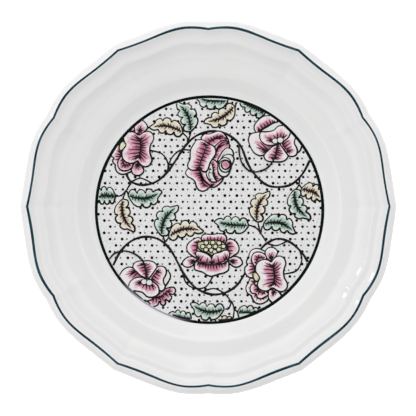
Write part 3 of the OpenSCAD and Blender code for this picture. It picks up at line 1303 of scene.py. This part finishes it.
MALLOW: tuple[Shape, ...] = (
    Shape(
        ((3, 12), (0, 14.3), (2, 16.3), (3.5, 18.3), (6, 18.8), (8.2, 17.6), (9.2, 15), (10.8, 17.6),
         (12.6, 18), (13.8, 16.6), (13.6, 13.8), (16, 14.8), (17.8, 13.6), (18.2, 11.6), (16.2, 9.6),
         (19.2, 10), (20.8, 8.6), (21, 6.3), (19, 4.8), (14, 6), (9, 10)),
        ((4, 13), (10, 12), (15, 8)),
        strokes=17, reach=0.72, depth=0.7,
    ),
    Shape(
        ((13, 4), (16.2, 0.2), (17.4, -3), (16.8, -5.6), (15, -7.6), (12, -9), (12, -3)),
        ((13.5, -4), (14, 0)), Finish.WHITE, strokes=0,
    ),
    Shape(
        ((-13.3, 8), (-10, 10.8), (-6, 12.6), (-2.5, 14.4), (0.5, 14.9), (4.5, 13.4), (7, 10.5),
         (0, 8)),
        ((-8, 9.5), (2, 12.5)), Finish.WHITE, strokes=0,
    ),
    Shape(
        ((-15.5, 7.2), (-17.2, 10), (-16.8, 13), (-14.5, 16), (-12, 18.1), (-9.5, 19.2), (-6.5, 19.5),
         (-4, 19), (-1.5, 17.2), (-0.3, 15), (-3.5, 13.8), (-6.5, 12), (-9.5, 10.3), (-12.3, 8.6)),
        ((-13.2, 8.8), (-9.5, 11), (-6, 13), (-2.4, 14.8)),
        strokes=16, reach=0.55, pull=0.9,
    ),
    Shape(
        ((-12.5, 7.2), (-16, 7.1), (-19, 6.4), (-20.8, 4.5), (-21.4, 1.5), (-20.8, -1.2),
         (-19.5, -4.5), (-17.5, -7.5), (-15, -9.3), (-12, -9.9), (-9, -8.6), (-6.5, -6),
         (-3.5, -3.2), (-2, -1.5), (-4, 1), (-8, 4.5)),
        ((-2.6, -1.6), (-4.6, -4), (-7.4, -6.6)),
        strokes=12, reach=0.66,
    ),
    Shape(
        ((-4, -3.5), (-6.8, -6), (-9.3, -8.4), (-10.1, -10.5), (-9, -12.8), (-7, -14), (-4, -14.4),
         (-1, -14.5), (2, -14.5), (5, -13.6), (7, -11.8), (7.6, -10), (6, -7.4), (4, -4.4),
         (1.6, -1.6)),
        ((0.2, -2.6), (-0.6, -7), (-2, -11.6)),
        strokes=17, reach=0.62, pull=0.8,
    ),
    Shape(
        ((2, -1.8), (4, -4.5), (6, -7.4), (7.8, -9.7), (10, -10.6), (12.6, -10), (14.1, -8.4),
         (14.4, -6), (13.6, -3.5), (12.3, -1), (12.5, 1.6), (13.6, 4), (12.4, 7), (9.6, 7.4),
         (8.2, 4.2), (6, 1.8), (3.5, 0.4)),
        ((3.2, -1), (4.8, -3.4), (7, -6.2)),
        strokes=13, reach=0.66,
    ),
    Shape(
        ((-3, -2.2), (-7, -2.3), (-10, -1.1), (-12.2, 1), (-13.1, 3.5), (-13.1, 6), (-12, 7.6),
         (-9, 7.5), (-6, 7.9), (-3.2, 8.6), (-1.5, 10), (0.2, 11.6), (3, 12.3), (6.4, 11.6),
         (8.8, 9.6), (9.2, 7.4), (8.8, 5.2), (7.6, 3.2), (5.6, 1.6), (3, 0)),
        ((-3.6, 1), (-0.5, 3), (3.6, 3)),
        strokes=13, reach=0.6, pull=0.85,
    ),
    Shape(oval((-1.9, 0.9), 2.1, 2.0), ((-2.2, 1), (-1.6, 1)), Finish.WHITE, strokes=0, line_w=0.7),
    Shape(oval((1.9, 1.5), 2.2, 2.1), ((1.6, 1.5), (2.2, 1.5)), Finish.WHITE, strokes=0, line_w=0.6),
)

CABBAGE_ROSE: tuple[Shape, ...] = (
    Shape(
        ((-6, 51.8), (-5.2, 54.2), (-3.3, 55.6), (0, 55.6), (3, 56.6), (6, 57.6), (8.8, 57.2),
         (11, 55.4), (12.8, 53), (13.9, 50.6), (14, 48.4), (11, 48), (6, 46), (2, 45.5), (-2, 47)),
        ((-1.6, 48.6), (1.2, 51), (5, 53), (8.5, 53.6), (11.6, 52.8)),
        strokes=17, reach=0.5, pull=0.92,
    ),
    Shape(
        ((-7.5, 31), (-12, 29), (-15.3, 30), (-17.1, 28.3), (-17.4, 26.2), (-15.8, 24.2),
         (-12.6, 22.4), (-10.7, 20.4), (-9.8, 17.4), (-8.1, 14.6), (-5, 13.4), (-2, 14.6), (0, 16.2),
         (3.5, 16.4), (6.5, 18.2), (9.2, 21), (10, 23.4), (6, 22.6), (1.5, 22.4), (-1.6, 25), (-3, 29)),
        ((-7.3, 30), (-7, 26), (-5.8, 21.6), (-3.4, 18), (0.6, 17)),
        strokes=24, reach=0.42, pull=0.95,
    ),
    Shape(
        ((4, 46.2), (6, 48.4), (8, 50), (10.6, 50.7), (13.4, 49.6), (14.6, 47), (13.8, 44),
         (11, 42), (9, 38.5), (7, 36), (4.6, 35.4), (2.6, 37.2), (3.8, 40.5), (4.6, 43.5)),
        ((3.4, 38.2), (4.4, 42.4), (6.4, 46.4), (9.6, 49.4), (12.6, 49)),
        strokes=16, reach=0.42, depth=0.62, lift=0.14,
    ),
    Shape(
        ((6, 36), (7.6, 39.4), (9.6, 42.8), (12.4, 45.2), (15.4, 44.8), (17.1, 42.6), (17.2, 39.6),
         (12, 36), (8, 34)),
        ((9, 38), (13.5, 42)), Finish.WHITE, strokes=0,
    ),
    Shape(
        ((7, 33.5), (8.4, 37), (10.4, 39.4), (13.4, 40.6), (16.6, 39.8), (17.9, 37.4), (17.4, 35),
         (15.4, 32), (10, 31)),
        ((10, 35), (14.5, 37.6)), Finish.WHITE, strokes=0,
    ),
    Shape(
        ((0.4, 34.6), (-0.2, 32.6), (-1.2, 30.2), (-2.4, 27.4), (-1.8, 24), (0, 21.4), (2.6, 20.1),
         (5.6, 20.8), (6, 26), (4, 32)),
        ((0.2, 22.4), (-0.6, 25.5), (0, 29)), Finish.WHITE, strokes=9, reach=0.4, stroke_w=0.7,
    ),
    Shape(
        ((2, 36.6), (4.2, 36), (5.8, 34), (6.2, 31), (6.2, 28), (7.2, 25.4), (9.4, 23.8), (7.6, 21.8),
         (5.6, 20.8), (3.8, 23), (2.7, 26), (2.5, 29.5), (2, 32.6), (1, 34.8)),
        ((2.2, 34.6), (2.8, 30), (3.2, 26), (5.2, 22.2)),
        strokes=14, reach=0.5, depth=0.62, lift=0.14,
    ),
    Shape(
        ((6.6, 34), (8, 36.6), (10.6, 38.1), (13.4, 37.6), (15.4, 35.4), (15.9, 32), (15, 28.2),
         (13, 24.9), (10, 24), (7.4, 25.6), (6.1, 28.6), (6, 31.6)),
        ((9.6, 27.4), (12.6, 30)), Finish.WHITE, strokes=0,
    ),
    Shape(
        oval((11.5, 31.9), 4.4, 4.5), ((11.3, 32), (11.7, 32)), Finish.WHITE, strokes=0,
    ),
    Shape(oval((11.8, 32.7), 3.1, 3.2), ((11.5, 32.6), (12, 32.8)), strokes=0, depth=0.3,
          lift=0.22),
    Shape(
        ((-7, 51.3), (-9.6, 51), (-11.1, 48.8), (-12.6, 46.4), (-14, 43.5), (-14.2, 40),
         (-14.3, 37), (-15.5, 34.5), (-16, 32), (-15, 30), (-12.5, 28.8), (-9.4, 29.2), (-7.3, 30.2),
         (-5.2, 28.2), (-3, 27.7), (-1.4, 29), (-0.4, 31.5), (0.2, 33.8), (1.4, 36), (3.1, 38.5),
         (4.5, 41), (4.4, 44), (3.4, 46.2), (1.5, 47.4), (-0.8, 48.2), (-2.6, 49.6), (-4.6, 51)),
        ((-2.4, 47.4), (-3.3, 43.5), (-5, 39), (-6.6, 34.5), (-7.2, 31)),
        strokes=24, reach=0.58, pull=0.9,
    ),
)

LOTUS: tuple[Shape, ...] = (
    Shape(
        ((-8, -36.2), (-11.5, -34.8), (-15, -34.9), (-18, -36.4), (-19.8, -39), (-19, -41.2),
         (-16.4, -42.4), (-13.4, -41.8), (-11, -40.2), (-8, -38.6)),
        ((-9, -38.2), (-10.8, -38.1)), strokes=9, reach=0.66,
    ),
    Shape(
        ((13, -36.4), (16.6, -34.8), (20, -34.7), (22.7, -36.2), (24.1, -39), (22.6, -41.3),
         (19.6, -42.4), (16.8, -41.4), (14.6, -39.4), (13, -38.4)),
        ((13.8, -37.8), (15.6, -37.9)), strokes=9, reach=0.66,
    ),
    Shape(
        ((-6, -22), (-8.2, -20.6), (-11, -21.6), (-14, -23.4), (-16, -25.6), (-16.7, -28.4),
         (-15.8, -31.2), (-13, -33.8), (-9.4, -35.4), (-7, -31), (-6, -26)),
        ((-9, -24.6), (-9.2, -28), (-9.6, -32)), strokes=11, reach=0.6,
    ),
    Shape(
        ((12, -23.4), (14.6, -22), (17, -22.1), (19.4, -23.6), (21.2, -26.6), (21.6, -29.2),
         (20.6, -31.8), (18, -33.7), (14.4, -35.4), (11.4, -31), (10.6, -27)),
        ((13.4, -25.4), (13.6, -28.6), (14, -32.4)), strokes=11, reach=0.6,
    ),
    Shape(
        ((-5.7, -22.4), (-5.4, -19.4), (-3.4, -18.1), (2, -18.3), (6, -17.8), (9.8, -18),
         (11.9, -19.4), (12.5, -21.8), (11.8, -24.4), (9, -27), (-3, -27)),
        ((-4, -23.6), (0, -23), (5, -23), (10, -23.8)), strokes=17, reach=0.72, pull=0.95,
    ),
    Shape(
        ((-9, -38), (-11, -41.6), (-10.8, -44), (-8, -45.1), (-5, -46), (-2, -48), (1, -49),
         (4, -48.4), (7, -47.4), (11, -46.4), (13.7, -44.4), (14.1, -41.2), (12.6, -37.6), (2, -36)),
        ((-7.8, -39.4), (-3, -40.4), (2, -40.7), (7, -40.2), (11.4, -39)),
        strokes=24, reach=0.5, pull=0.92,
    ),
    Shape(
        ((-8.4, -24.2), (-5, -23.4), (0, -22.6), (5, -22.6), (10, -24), (12.5, -26.6), (12.2, -29.6),
         (8, -31.6), (4, -32.8), (1.8, -34), (-0.4, -32.6), (-4, -31.2), (-7.6, -29), (-8.9, -26.5)),
        ((-4, -26.6), (2, -27.6), (8, -27)), Finish.OCHRE, strokes=0, depth=0.75, lift=0.12,
    ),
    *(
        Shape(oval((x, y), 1.75, 1.6), ((x - 0.3, y + 0.4), (x + 0.3, y + 0.4)), Finish.OCHRE,
              strokes=0, line_w=0.85, depth=0.6)
        for x, y in (
            (-2.4, -24.5), (2.4, -24.4), (7, -24.7), (-5, -27.3), (-0.2, -27.2), (4.3, -27.3),
            (10.2, -27.2), (-2.6, -29.6), (1.4, -30), (6.8, -29.4), (3.8, -31.2),
        )
    ),
    Shape(
        ((-9.7, -31), (-7.5, -30.8), (-4, -31.8), (-1.5, -33), (0.6, -34.6), (1.8, -37), (1.9, -40.2),
         (-2, -40.4), (-6, -39.6), (-8.6, -37.6), (-9.8, -34.5)),
        ((-8, -37), (-5, -38.8), (0.6, -39.6)), strokes=13, reach=0.72, pull=0.9,
    ),
    Shape(
        ((2, -40.2), (1.8, -36.5), (2.6, -33.6), (4.6, -32.2), (8, -31.4), (11, -29.9), (13.6, -30.4),
         (14.6, -32.6), (14.1, -35.6), (13, -38), (10, -39.6), (6, -40.3)),
        ((3, -39.6), (7.4, -39.2), (12, -37)), strokes=13, reach=0.72, pull=0.9,
    ),
)


@dataclass(frozen=True)
class Leaf:
    """A leaf with rounded lobes, a bowed rib and a tip that hooks away from the bow."""

    base: Point
    tip: Point
    width: float
    bow: float

    # Along the leaf, 0 to 1, and across it in half widths: out along one side, back on the other
    EDGE = (
        (0.0, 0.0), (0.03, 0.38), (0.08, 0.76), (0.16, 0.93), (0.23, 0.82), (0.265, 0.52),
        (0.3, 0.86), (0.385, 1.02), (0.47, 0.9), (0.51, 0.56), (0.545, 0.88), (0.625, 1.0),
        (0.7, 0.82), (0.735, 0.52), (0.8, 0.6), (0.88, 0.54), (0.95, 0.34), (1.0, 0.05),
        (0.94, -0.12), (0.88, -0.28), (0.85, -0.38), (0.845, -0.64), (0.78, -0.86), (0.69, -0.86),
        (0.64, -0.56), (0.61, -0.9), (0.53, -1.04), (0.43, -0.96), (0.38, -0.58), (0.34, -0.88),
        (0.24, -0.96), (0.13, -0.78), (0.05, -0.38),
    )
    RIB = ((0.02, 0.0), (0.25, 0.02), (0.5, 0.0), (0.78, 0.06))

    def shape(self, finish: Finish) -> Shape:
        """Draws the leaf.

        Args:
            finish: Its enamel.

        Returns:
            The leaf's shape, placed in the well.
        """
        base, along = Vector(self.base), Vector(self.tip) - Vector(self.base)
        side = -1.0 if self.bow > 0 else 1.0
        across = Vector((-along.y, along.x)).normalized()

        def put(s: float, t: float) -> Point:
            """Gives the place of a point of the drawing."""
            bowed = self.bow * 4 * s * (1 - s)
            point = base + along * s + across * (bowed + side * t * self.width / 2)
            return point.x, point.y

        return Shape(
            tuple(put(s, t) for s, t in self.EDGE), tuple(put(s, t) for s, t in self.RIB), finish,
            strokes=20, reach=0.5, line_w=1.2, pull=0.8, slant=5, spine_w=1.1,
        )


GREEN_LEAVES: tuple[Leaf, ...] = (
    Leaf((-13.5, 57.5), (-23, 79), 12.6, -2.5),
    Leaf((13.5, 80), (-10.5, 82), 12, 1),
    Leaf((40.5, 70.5), (22.5, 80), 12.5, -1),
    Leaf((-69, 10), (-85, 9.5), 12.6, -0.5),
    Leaf((-59.5, 10), (-34.8, 12.6), 13, -3.2),
    Leaf((-35.5, -19), (-23.5, 3), 13, 3.5),
    Leaf((28.5, -12), (3.5, -9.5), 12.2, 0.5),
    Leaf((39.5, -10.5), (63, -17), 12.4, 4),
    Leaf((62, 14.5), (73.5, -7.5), 12, -4),
    Leaf((10.5, -73.5), (-14, -69.5), 12, 3.5),
    Leaf((20.5, -75), (38, -77), 10, 0.3),
    Leaf((-13.5, -80.5), (-30, -77), 10, 0.3),
)
YELLOW_LEAVES: tuple[Leaf, ...] = (
    Leaf((-19.5, 57), (-44, 61), 11.4, -2.5),
    Leaf((18.5, 76), (-4, 63.5), 11.6, 2.6),
    Leaf((-64, 7.5), (-55.5, -16.5), 11.6, -3.5),
    Leaf((-30, -19.5), (-4.5, -15.5), 11.6, 3.4),
    Leaf((34.5, -9), (43.5, 13.5), 11.6, 3.4),
    Leaf((67.5, 15.5), (84, 8), 12, 1),
    Leaf((18, -82), (4, -80.5), 6.5, 0),
)

MAIN_STEMS: tuple[Outline, ...] = (
    ((-61, 26), (-57.5, 20.5), (-49, 18), (-39, 20.5), (-31, 27.5), (-24.5, 36.5), (-18, 46.5),
     (-10, 54), (0, 57.5), (10, 56.5), (18, 52), (23.5, 45.5), (28, 34), (33, 26), (41, 18.5),
     (50, 16.5), (60, 18.5), (68, 26), (73.5, 36), (74.6, 39)),
    ((-72, -44), (-70.5, -41), (-65, -30.5), (-57, -23), (-47, -20), (-37, -22), (-29, -29),
     (-23.5, -38.5), (-18, -48.5), (-10, -57.5), (0, -62), (10, -61.5), (19, -56.5), (25.5, -47.5),
     (30, -37.5), (38, -28.5), (42.5, -24.5), (50, -21.5), (59, -24), (67, -31), (72, -38.5),
     (73.4, -41.5)),
)
TENDRILS: tuple[Outline, ...] = (
    ((-44, 43.5), (-35, 41), (-30.5, 34), (-31, 27.5)),
    ((-30.5, 29), (-28, 37.5), (-21.5, 43.5), (-13, 43.5)),
    ((-57, 20.5), (-50.5, 23), (-42.5, 19.5)),
    ((21.5, 46.5), (22.5, 37.5), (26, 31), (32, 27.5), (41.5, 30), (47.5, 37.5), (50, 48)),
    ((-75, -38.5), (-73, -36), (-69, -32), (-61.5, -30.5), (-53.5, -33.5), (-48, -39.5), (-46, -51)),
    ((-20, -45), (-17, -54), (-10, -58), (-2.5, -56.5), (2.5, -49)),
    ((-4.5, -60), (3.5, -58), (11, -61.5)),
    ((42.5, -25), (49, -26.5), (56.5, -23.5)),
    ((66, -30), (67.5, -37.5), (63.5, -45), (54, -47.5)),
    ((-16, 49), (-16.5, 53), (-19.5, 56)),
    ((-15.5, 51), (-13.5, 57)),
    ((19.8, 81.5), (19, 75)),
    ((-57.5, 19.5), (-61, 14), (-63.5, 8)),
    ((-61, 14), (-64.5, 10.5), (-69, 9.5)),
    ((-60.5, 13.5), (-59, 9.5)),
    ((-32.5, -24.5), (-33.5, -21), (-35, -19)),
    ((-32.5, -24), (-29.5, -20)),
    ((41.5, -23.5), (37.5, -17.5), (34, -13.5), (29, -11.5)),
    ((37, -16.5), (35.5, -10)),
    ((37.5, -18), (38.5, -13), (41, -10.5)),
    ((66, 23), (65.5, 18), (62.5, 14)),
    ((65.5, 18.5), (68.5, 14.5)),
    ((11, -61.5), (15.5, -67.5), (14, -72.5), (11.5, -73)),
    ((16, -67), (18, -73), (17, -81.5)),
    ((17.5, -72), (21.5, -76.5)),
)
# The places in TENDRILS of the two that end over an open flower
OVER_PETALS: tuple[int, ...] = (3, 4)


def at(x: float, y: float, over: bool = False) -> Callable[[Point], Point]:
    """Gives a rule that moves a motif to its place.

    Args:
        x: Where its middle goes, across.
        y: Where its middle goes, up.
        over: Whether the motif is turned over, top to bottom.

    Returns:
        The rule, from a point of the motif to a point of the well.
    """
    return lambda p: (p[0] + x, (-p[1] if over else p[1]) + y)


@dataclass
class Ground:
    """The ground of dots: a large dot in every other place of a grid, and a small one beside it."""

    column: float = 4.4
    row: float = 4.56
    origin: Point = (2.34, 1.04)
    large_d: float = 2.1
    small_d: float = 1.3
    small_shift: float = 3.43
    lean: float = 0.067
    margin: float = 0.4
    thick: float = 0.04
    crown: float = 0.015
    sides: int = 12
    reach: int = 20

    def places(self, limit: float) -> list[Vector]:
        """Gives the places of the large dots inside a radius."""
        reach = range(-self.reach, self.reach + 1)
        spots = [
            Vector((self.origin[0] + self.column * i + self.lean * j, self.origin[1] + self.row * j))
            for i in reach
            for j in reach
            if (i + j) % 2 == 0
        ]
        return [s for s in spots if s.length < limit]

    def dot(self, diameter: float) -> bpy.types.Object:
        """Models one dot of ink with a low crown."""
        deselect()
        bpy.ops.mesh.primitive_circle_add(
            vertices=self.sides, radius=diameter / 2, fill_type="NGON"
        )
        dot = bpy.context.object
        with edit_mode():
            bpy.ops.mesh.extrude_region_move(TRANSFORM_OT_translate={"value": (0.0, 0.0, self.thick)})
            bpy.ops.mesh.inset(thickness=diameter * 0.15, depth=self.crown)
            bpy.ops.mesh.select_all(action="SELECT")
            bpy.ops.mesh.normals_make_consistent(inside=False)
        return dot

    def scatter(
        self, well: Well, diameter: float, shift: float, node: str, finish: Finish, slot: str
    ) -> None:
        """Copies one dot to every place and joins the copies.

        Args:
            well: The well that it is printed in.
            diameter: The dot's diameter.
            shift: How far to the right of the grid's places it stands.
            node: The CAD node that the dots stand for.
            finish: The ink.
            slot: The record's material slot.
        """
        name = node + "_print"
        model = self.dot(diameter)
        copies = []
        for k, spot in enumerate(self.places(well.ring_r - self.margin - 0.1)):
            size = 1 + 0.07 * math.sin(12.9 * k) + 0.04 * math.sin(4.1 * k)
            place = spot + Vector((shift, 0.05 * math.sin(7.7 * k)))
            if place.length > well.ring_r - self.margin:
                continue
            twin = copied(model, name)
            for vertex in twin.data.vertices:
                flat = vertex.co.xy * size + place
                vertex.co = (flat.x, flat.y, vertex.co.z + well.floor_z - 0.01)
            copies.append(twin)
        bpy.data.objects.remove(model)
        placed(joined(copies, name), finish.material(), slot, node, shift=well.shift)

    def build(self, well: Well) -> None:
        """Prints both sizes of dot in the well."""
        self.scatter(well, self.large_d, 0.0, "large_dots", Finish.KEY, "key_ink")
        self.scatter(well, self.small_d, self.small_shift, "small_dots", Finish.GREY, "grey_ink")


@dataclass
class Stems:
    """The winding stems and their tendrils."""

    main_w: float = 1.75
    tendril_w: float = 1.2
    lift: float = 0.06
    over_layers: int = 34
    waver: float = 0.12

    def strokes(self, points: Outline, width: float, height: float, limit: float) -> list[Stroke]:
        """Draws one stem as a stroke of slightly uneven width, cut off at the printed ring.

        Args:
            points: The points that the stem runs through.
            width: Its usual width.
            height: The height of its middle.
            limit: The printed ring's radius.

        Returns:
            The strokes.
        """
        line = flowing(points, steps=7)
        widths = [width * (1 + self.waver * math.sin(0.45 * i + width)) for i in range(len(line))]
        return strokes_inside(line, widths, height, limit)

    def build(self, well: Well) -> None:
        """Prints the stems under the flowers, and two of the tendrils over the open flowers."""
        low = well.floor_z + self.lift
        high = well.floor_z + self.over_layers * well.layer
        strokes = []
        for line in MAIN_STEMS:
            strokes += self.strokes(line, self.main_w, low, well.ring_r)
        for i, line in enumerate(TENDRILS):
            height = high if i in OVER_PETALS else low
            strokes += self.strokes(line, self.tendril_w, height, well.ring_r)
        piece = pressed(strokes, "stems_print")
        placed(piece, Finish.KEY.material(), "key_ink", "stem_print", shift=well.shift)


# ---- Studio ----


@dataclass
class Studio:
    """A light table under the plate, a soft tent round it, a small light and a soft bank of light."""

    view_w: float = 303.3
    distance: float = 3.0
    lean: tuple[float, float] = (4.2, 0.0)
    sensor: float = 36.0
    look_at: Place3 = (-0.0002, -0.0011, 0.022)
    key_turn: float = 150.0
    key_rise: float = 32.5
    key_size: float = 0.12
    key_power: float = 0.45
    bank_turn: float = 91.0
    bank_rise: float = 38.0
    bank_size: float = 0.36
    bank_power: float = 0.35
    light_distance: float = 1.4
    tent: float = 1.67
    tent_turn: float = 113.0
    tent_lean: float = 0.36
    floor: str = "#F7F7F7"
    floor_w: float = 6.0
    floor_drop: float = 0.0002
    floor_glow: float = 0.42

    # Sine of the height above the table, and how bright the tent is there
    TENT_BANDS = (
        (0.0, "#A0A0A0"), (0.5, "#B3B3B3"), (0.75, "#F9F9F9"), (0.88, "#E7E7E7"), (0.95, "#505050")
    )

    def add_floor(self) -> None:
        """Adds the pale table, a little lit from below as a light table is."""
        deselect()
        bpy.ops.mesh.primitive_plane_add(size=self.floor_w, location=(0.0, 0.0, -self.floor_drop))
        table = bpy.context.object
        table.name = "light_table"
        material, shader = new_material("opal_acrylic")
        skin = {"Base Color": linear(self.floor), "Roughness": 0.9, "Specular IOR Level": 0.1}
        glow = {"Emission Color": linear("#FFFFFF"), "Emission Strength": self.floor_glow}
        feed(material.node_tree, shader, skin | glow)
        table.data.materials.append(material)

    def add_tent(self) -> None:
        """Adds the tent: brightest well above the table, dim overhead, and brighter on one side."""
        world = bpy.data.worlds.new("soft_tent")
        bpy.context.scene.world = world
        world.use_nodes = True
        tree = world.node_tree
        shine = tree.nodes["Background"]
        way = add(tree, "TexCoord").outputs["Generated"]
        parts = add(tree, "SeparateXYZ", {0: way})
        bands = add(tree, "ValToRGB", {"Fac": parts.outputs["Z"]}, self.TENT_BANDS)
        turn = math.radians(self.tent_turn)
        bright_side = (math.cos(turn), math.sin(turn), 0.0)
        side = add(tree, "VectorMath", {0: way, 1: bright_side}, operation="DOT_PRODUCT")
        low, high = 1 - self.tent_lean, 1 + self.tent_lean
        lean = add(tree, "MapRange", {0: side.outputs["Value"], 1: -1.0, 2: 1.0, 3: low, 4: high})
        by_height = bands.outputs["Color"]
        level = add(tree, "Math", {0: by_height, 1: lean.outputs[0]}, operation="MULTIPLY")
        total = add(tree, "Math", {0: level.outputs[0], 1: self.tent}, operation="MULTIPLY")
        feed(tree, shine, {"Color": linear("#FFFFFF"), "Strength": total.outputs[0]})

    def add_light(self, name: str, turn: float, rise: float, size: float, power: float) -> None:
        """Adds a square light that looks at the plate.

        Args:
            name: The light's name.
            turn: Degrees from +X, round the plate.
            rise: Degrees above the table.
            size: Its width, in metres.
            power: Its power, in watts.
        """
        turn, rise = math.radians(turn), math.radians(rise)
        way = Vector(
            (math.cos(turn) * math.cos(rise), math.sin(turn) * math.cos(rise), math.sin(rise))
        )
        deselect()
        bpy.ops.object.light_add(type="AREA", location=way * self.light_distance)
        light = bpy.context.object
        light.name = name
        light.data.shape = "SQUARE"
        light.data.size = size
        light.data.energy = power
        light.rotation_euler = way.to_track_quat("Z", "Y").to_euler()

    def add_camera(self) -> None:
        """Adds the camera, almost straight above the plate."""
        turn = Euler((math.radians(self.lean[0]), math.radians(self.lean[1]), 0.0))
        away = turn.to_matrix() @ Vector((0.0, 0.0, self.distance))
        deselect()
        bpy.ops.object.camera_add(location=Vector(self.look_at) + away, rotation=turn)
        camera = bpy.context.object
        camera.name = "studio_camera"
        camera.data.sensor_width = self.sensor
        camera.data.lens = self.sensor * self.distance / (self.view_w * MM)
        camera.data.clip_end = 20.0
        bpy.context.scene.camera = camera

    def build(self) -> None:
        """Builds the studio."""
        self.add_floor()
        self.add_tent()
        self.add_light("key_light", self.key_turn, self.key_rise, self.key_size, self.key_power)
        self.add_light("light_bank", self.bank_turn, self.bank_rise, self.bank_size, self.bank_power)
        self.add_camera()
        bpy.context.scene.view_settings.view_transform = "Standard"
        bpy.context.scene.view_settings.look = "None"


def paint_well(well: Well) -> None:
    """Prints and enamels the well, from its ground of dots up to its flowers.

    Args:
        well: The well.
    """
    Ground().build(well)
    for leaves, finish in ((GREEN_LEAVES, Finish.GREEN), (YELLOW_LEAVES, Finish.YELLOW)):
        for leaf in leaves:
            well.level = well.leaf_level
            well.lay(leaf.shape(finish))
    # Each flower's shapes, its place, and how strong its enamel is washed on
    flowers = (
        (PEONY, at(-51, 45.5), 0.8),
        (PEONY, at(47, -48.3, over=True), 1.0),
        (MALLOW, at(50, 49.5), 1.0),
        (MALLOW, at(-46, -52.2, over=True), 1.0),
        (CABBAGE_ROSE, at(0, 0), 1.0),
        (LOTUS, at(0, 0), 0.95),
    )
    for shapes, place, wash in flowers:
        well.level = well.flower_level
        for shape in shapes:
            well.lay(replace(shape.moved(place), depth=shape.depth * wash))
    Stems().build(well)
    well.finish_patches()
    well.finish_strokes()


@dataclass(frozen=True)
class PlateSizes:
    """The sizes that the frame's boxes don't give."""

    crest_z: float = 22.0
    rim_line_w: float = 1.75
    ring_cad_w: float = 2.0
    ring_w: float = 2.2
    ring_cover: float = 0.4


def main() -> None:
    """Builds the plate and its studio."""
    logging.basicConfig(level=logging.INFO, format="%(name)s: %(message)s")
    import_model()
    sizes, lobing = PlateSizes(), Lobing()
    edge_swing = (1 - PlateForm.edge_fall) * lobing.at(0.0) * lobing.swing
    edge_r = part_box("glaze_coat")[1].x / MM - edge_swing
    low, high = (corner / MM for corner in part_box("well_line"))
    floor_z = low.z
    ring_r = (high.x - low.x - sizes.ring_cad_w) / 2
    shift = ((high.x + low.x) / 2, (high.y + low.y) / 2, 0.0)

    form = PlateForm(edge_r=edge_r, crest_z=sizes.crest_z, floor_z=floor_z, lobing=lobing)
    form.build()
    RoundLine(
        "rim_line_paint", form.crest_r, sizes.rim_line_w, Finish.TEAL, "rim_colour", "rim_line"
    ).build(form)
    RoundLine(
        "well_ring_print", ring_r, sizes.ring_w, Finish.RING, "ring_ink", "well_line",
        waver=((2, 0.05), (5, 0.04), (11, 0.03)), fade_from=226.0, fade_to=254.0, crown=0.05,
        shift=shift,
    ).build(form)
    well_r = ring_r - sizes.ring_cover * sizes.ring_w
    paint_well(Well(floor_z=floor_z, ring_r=well_r, shift=shift))
    Studio().build()


if __name__ == "__main__":
    main()
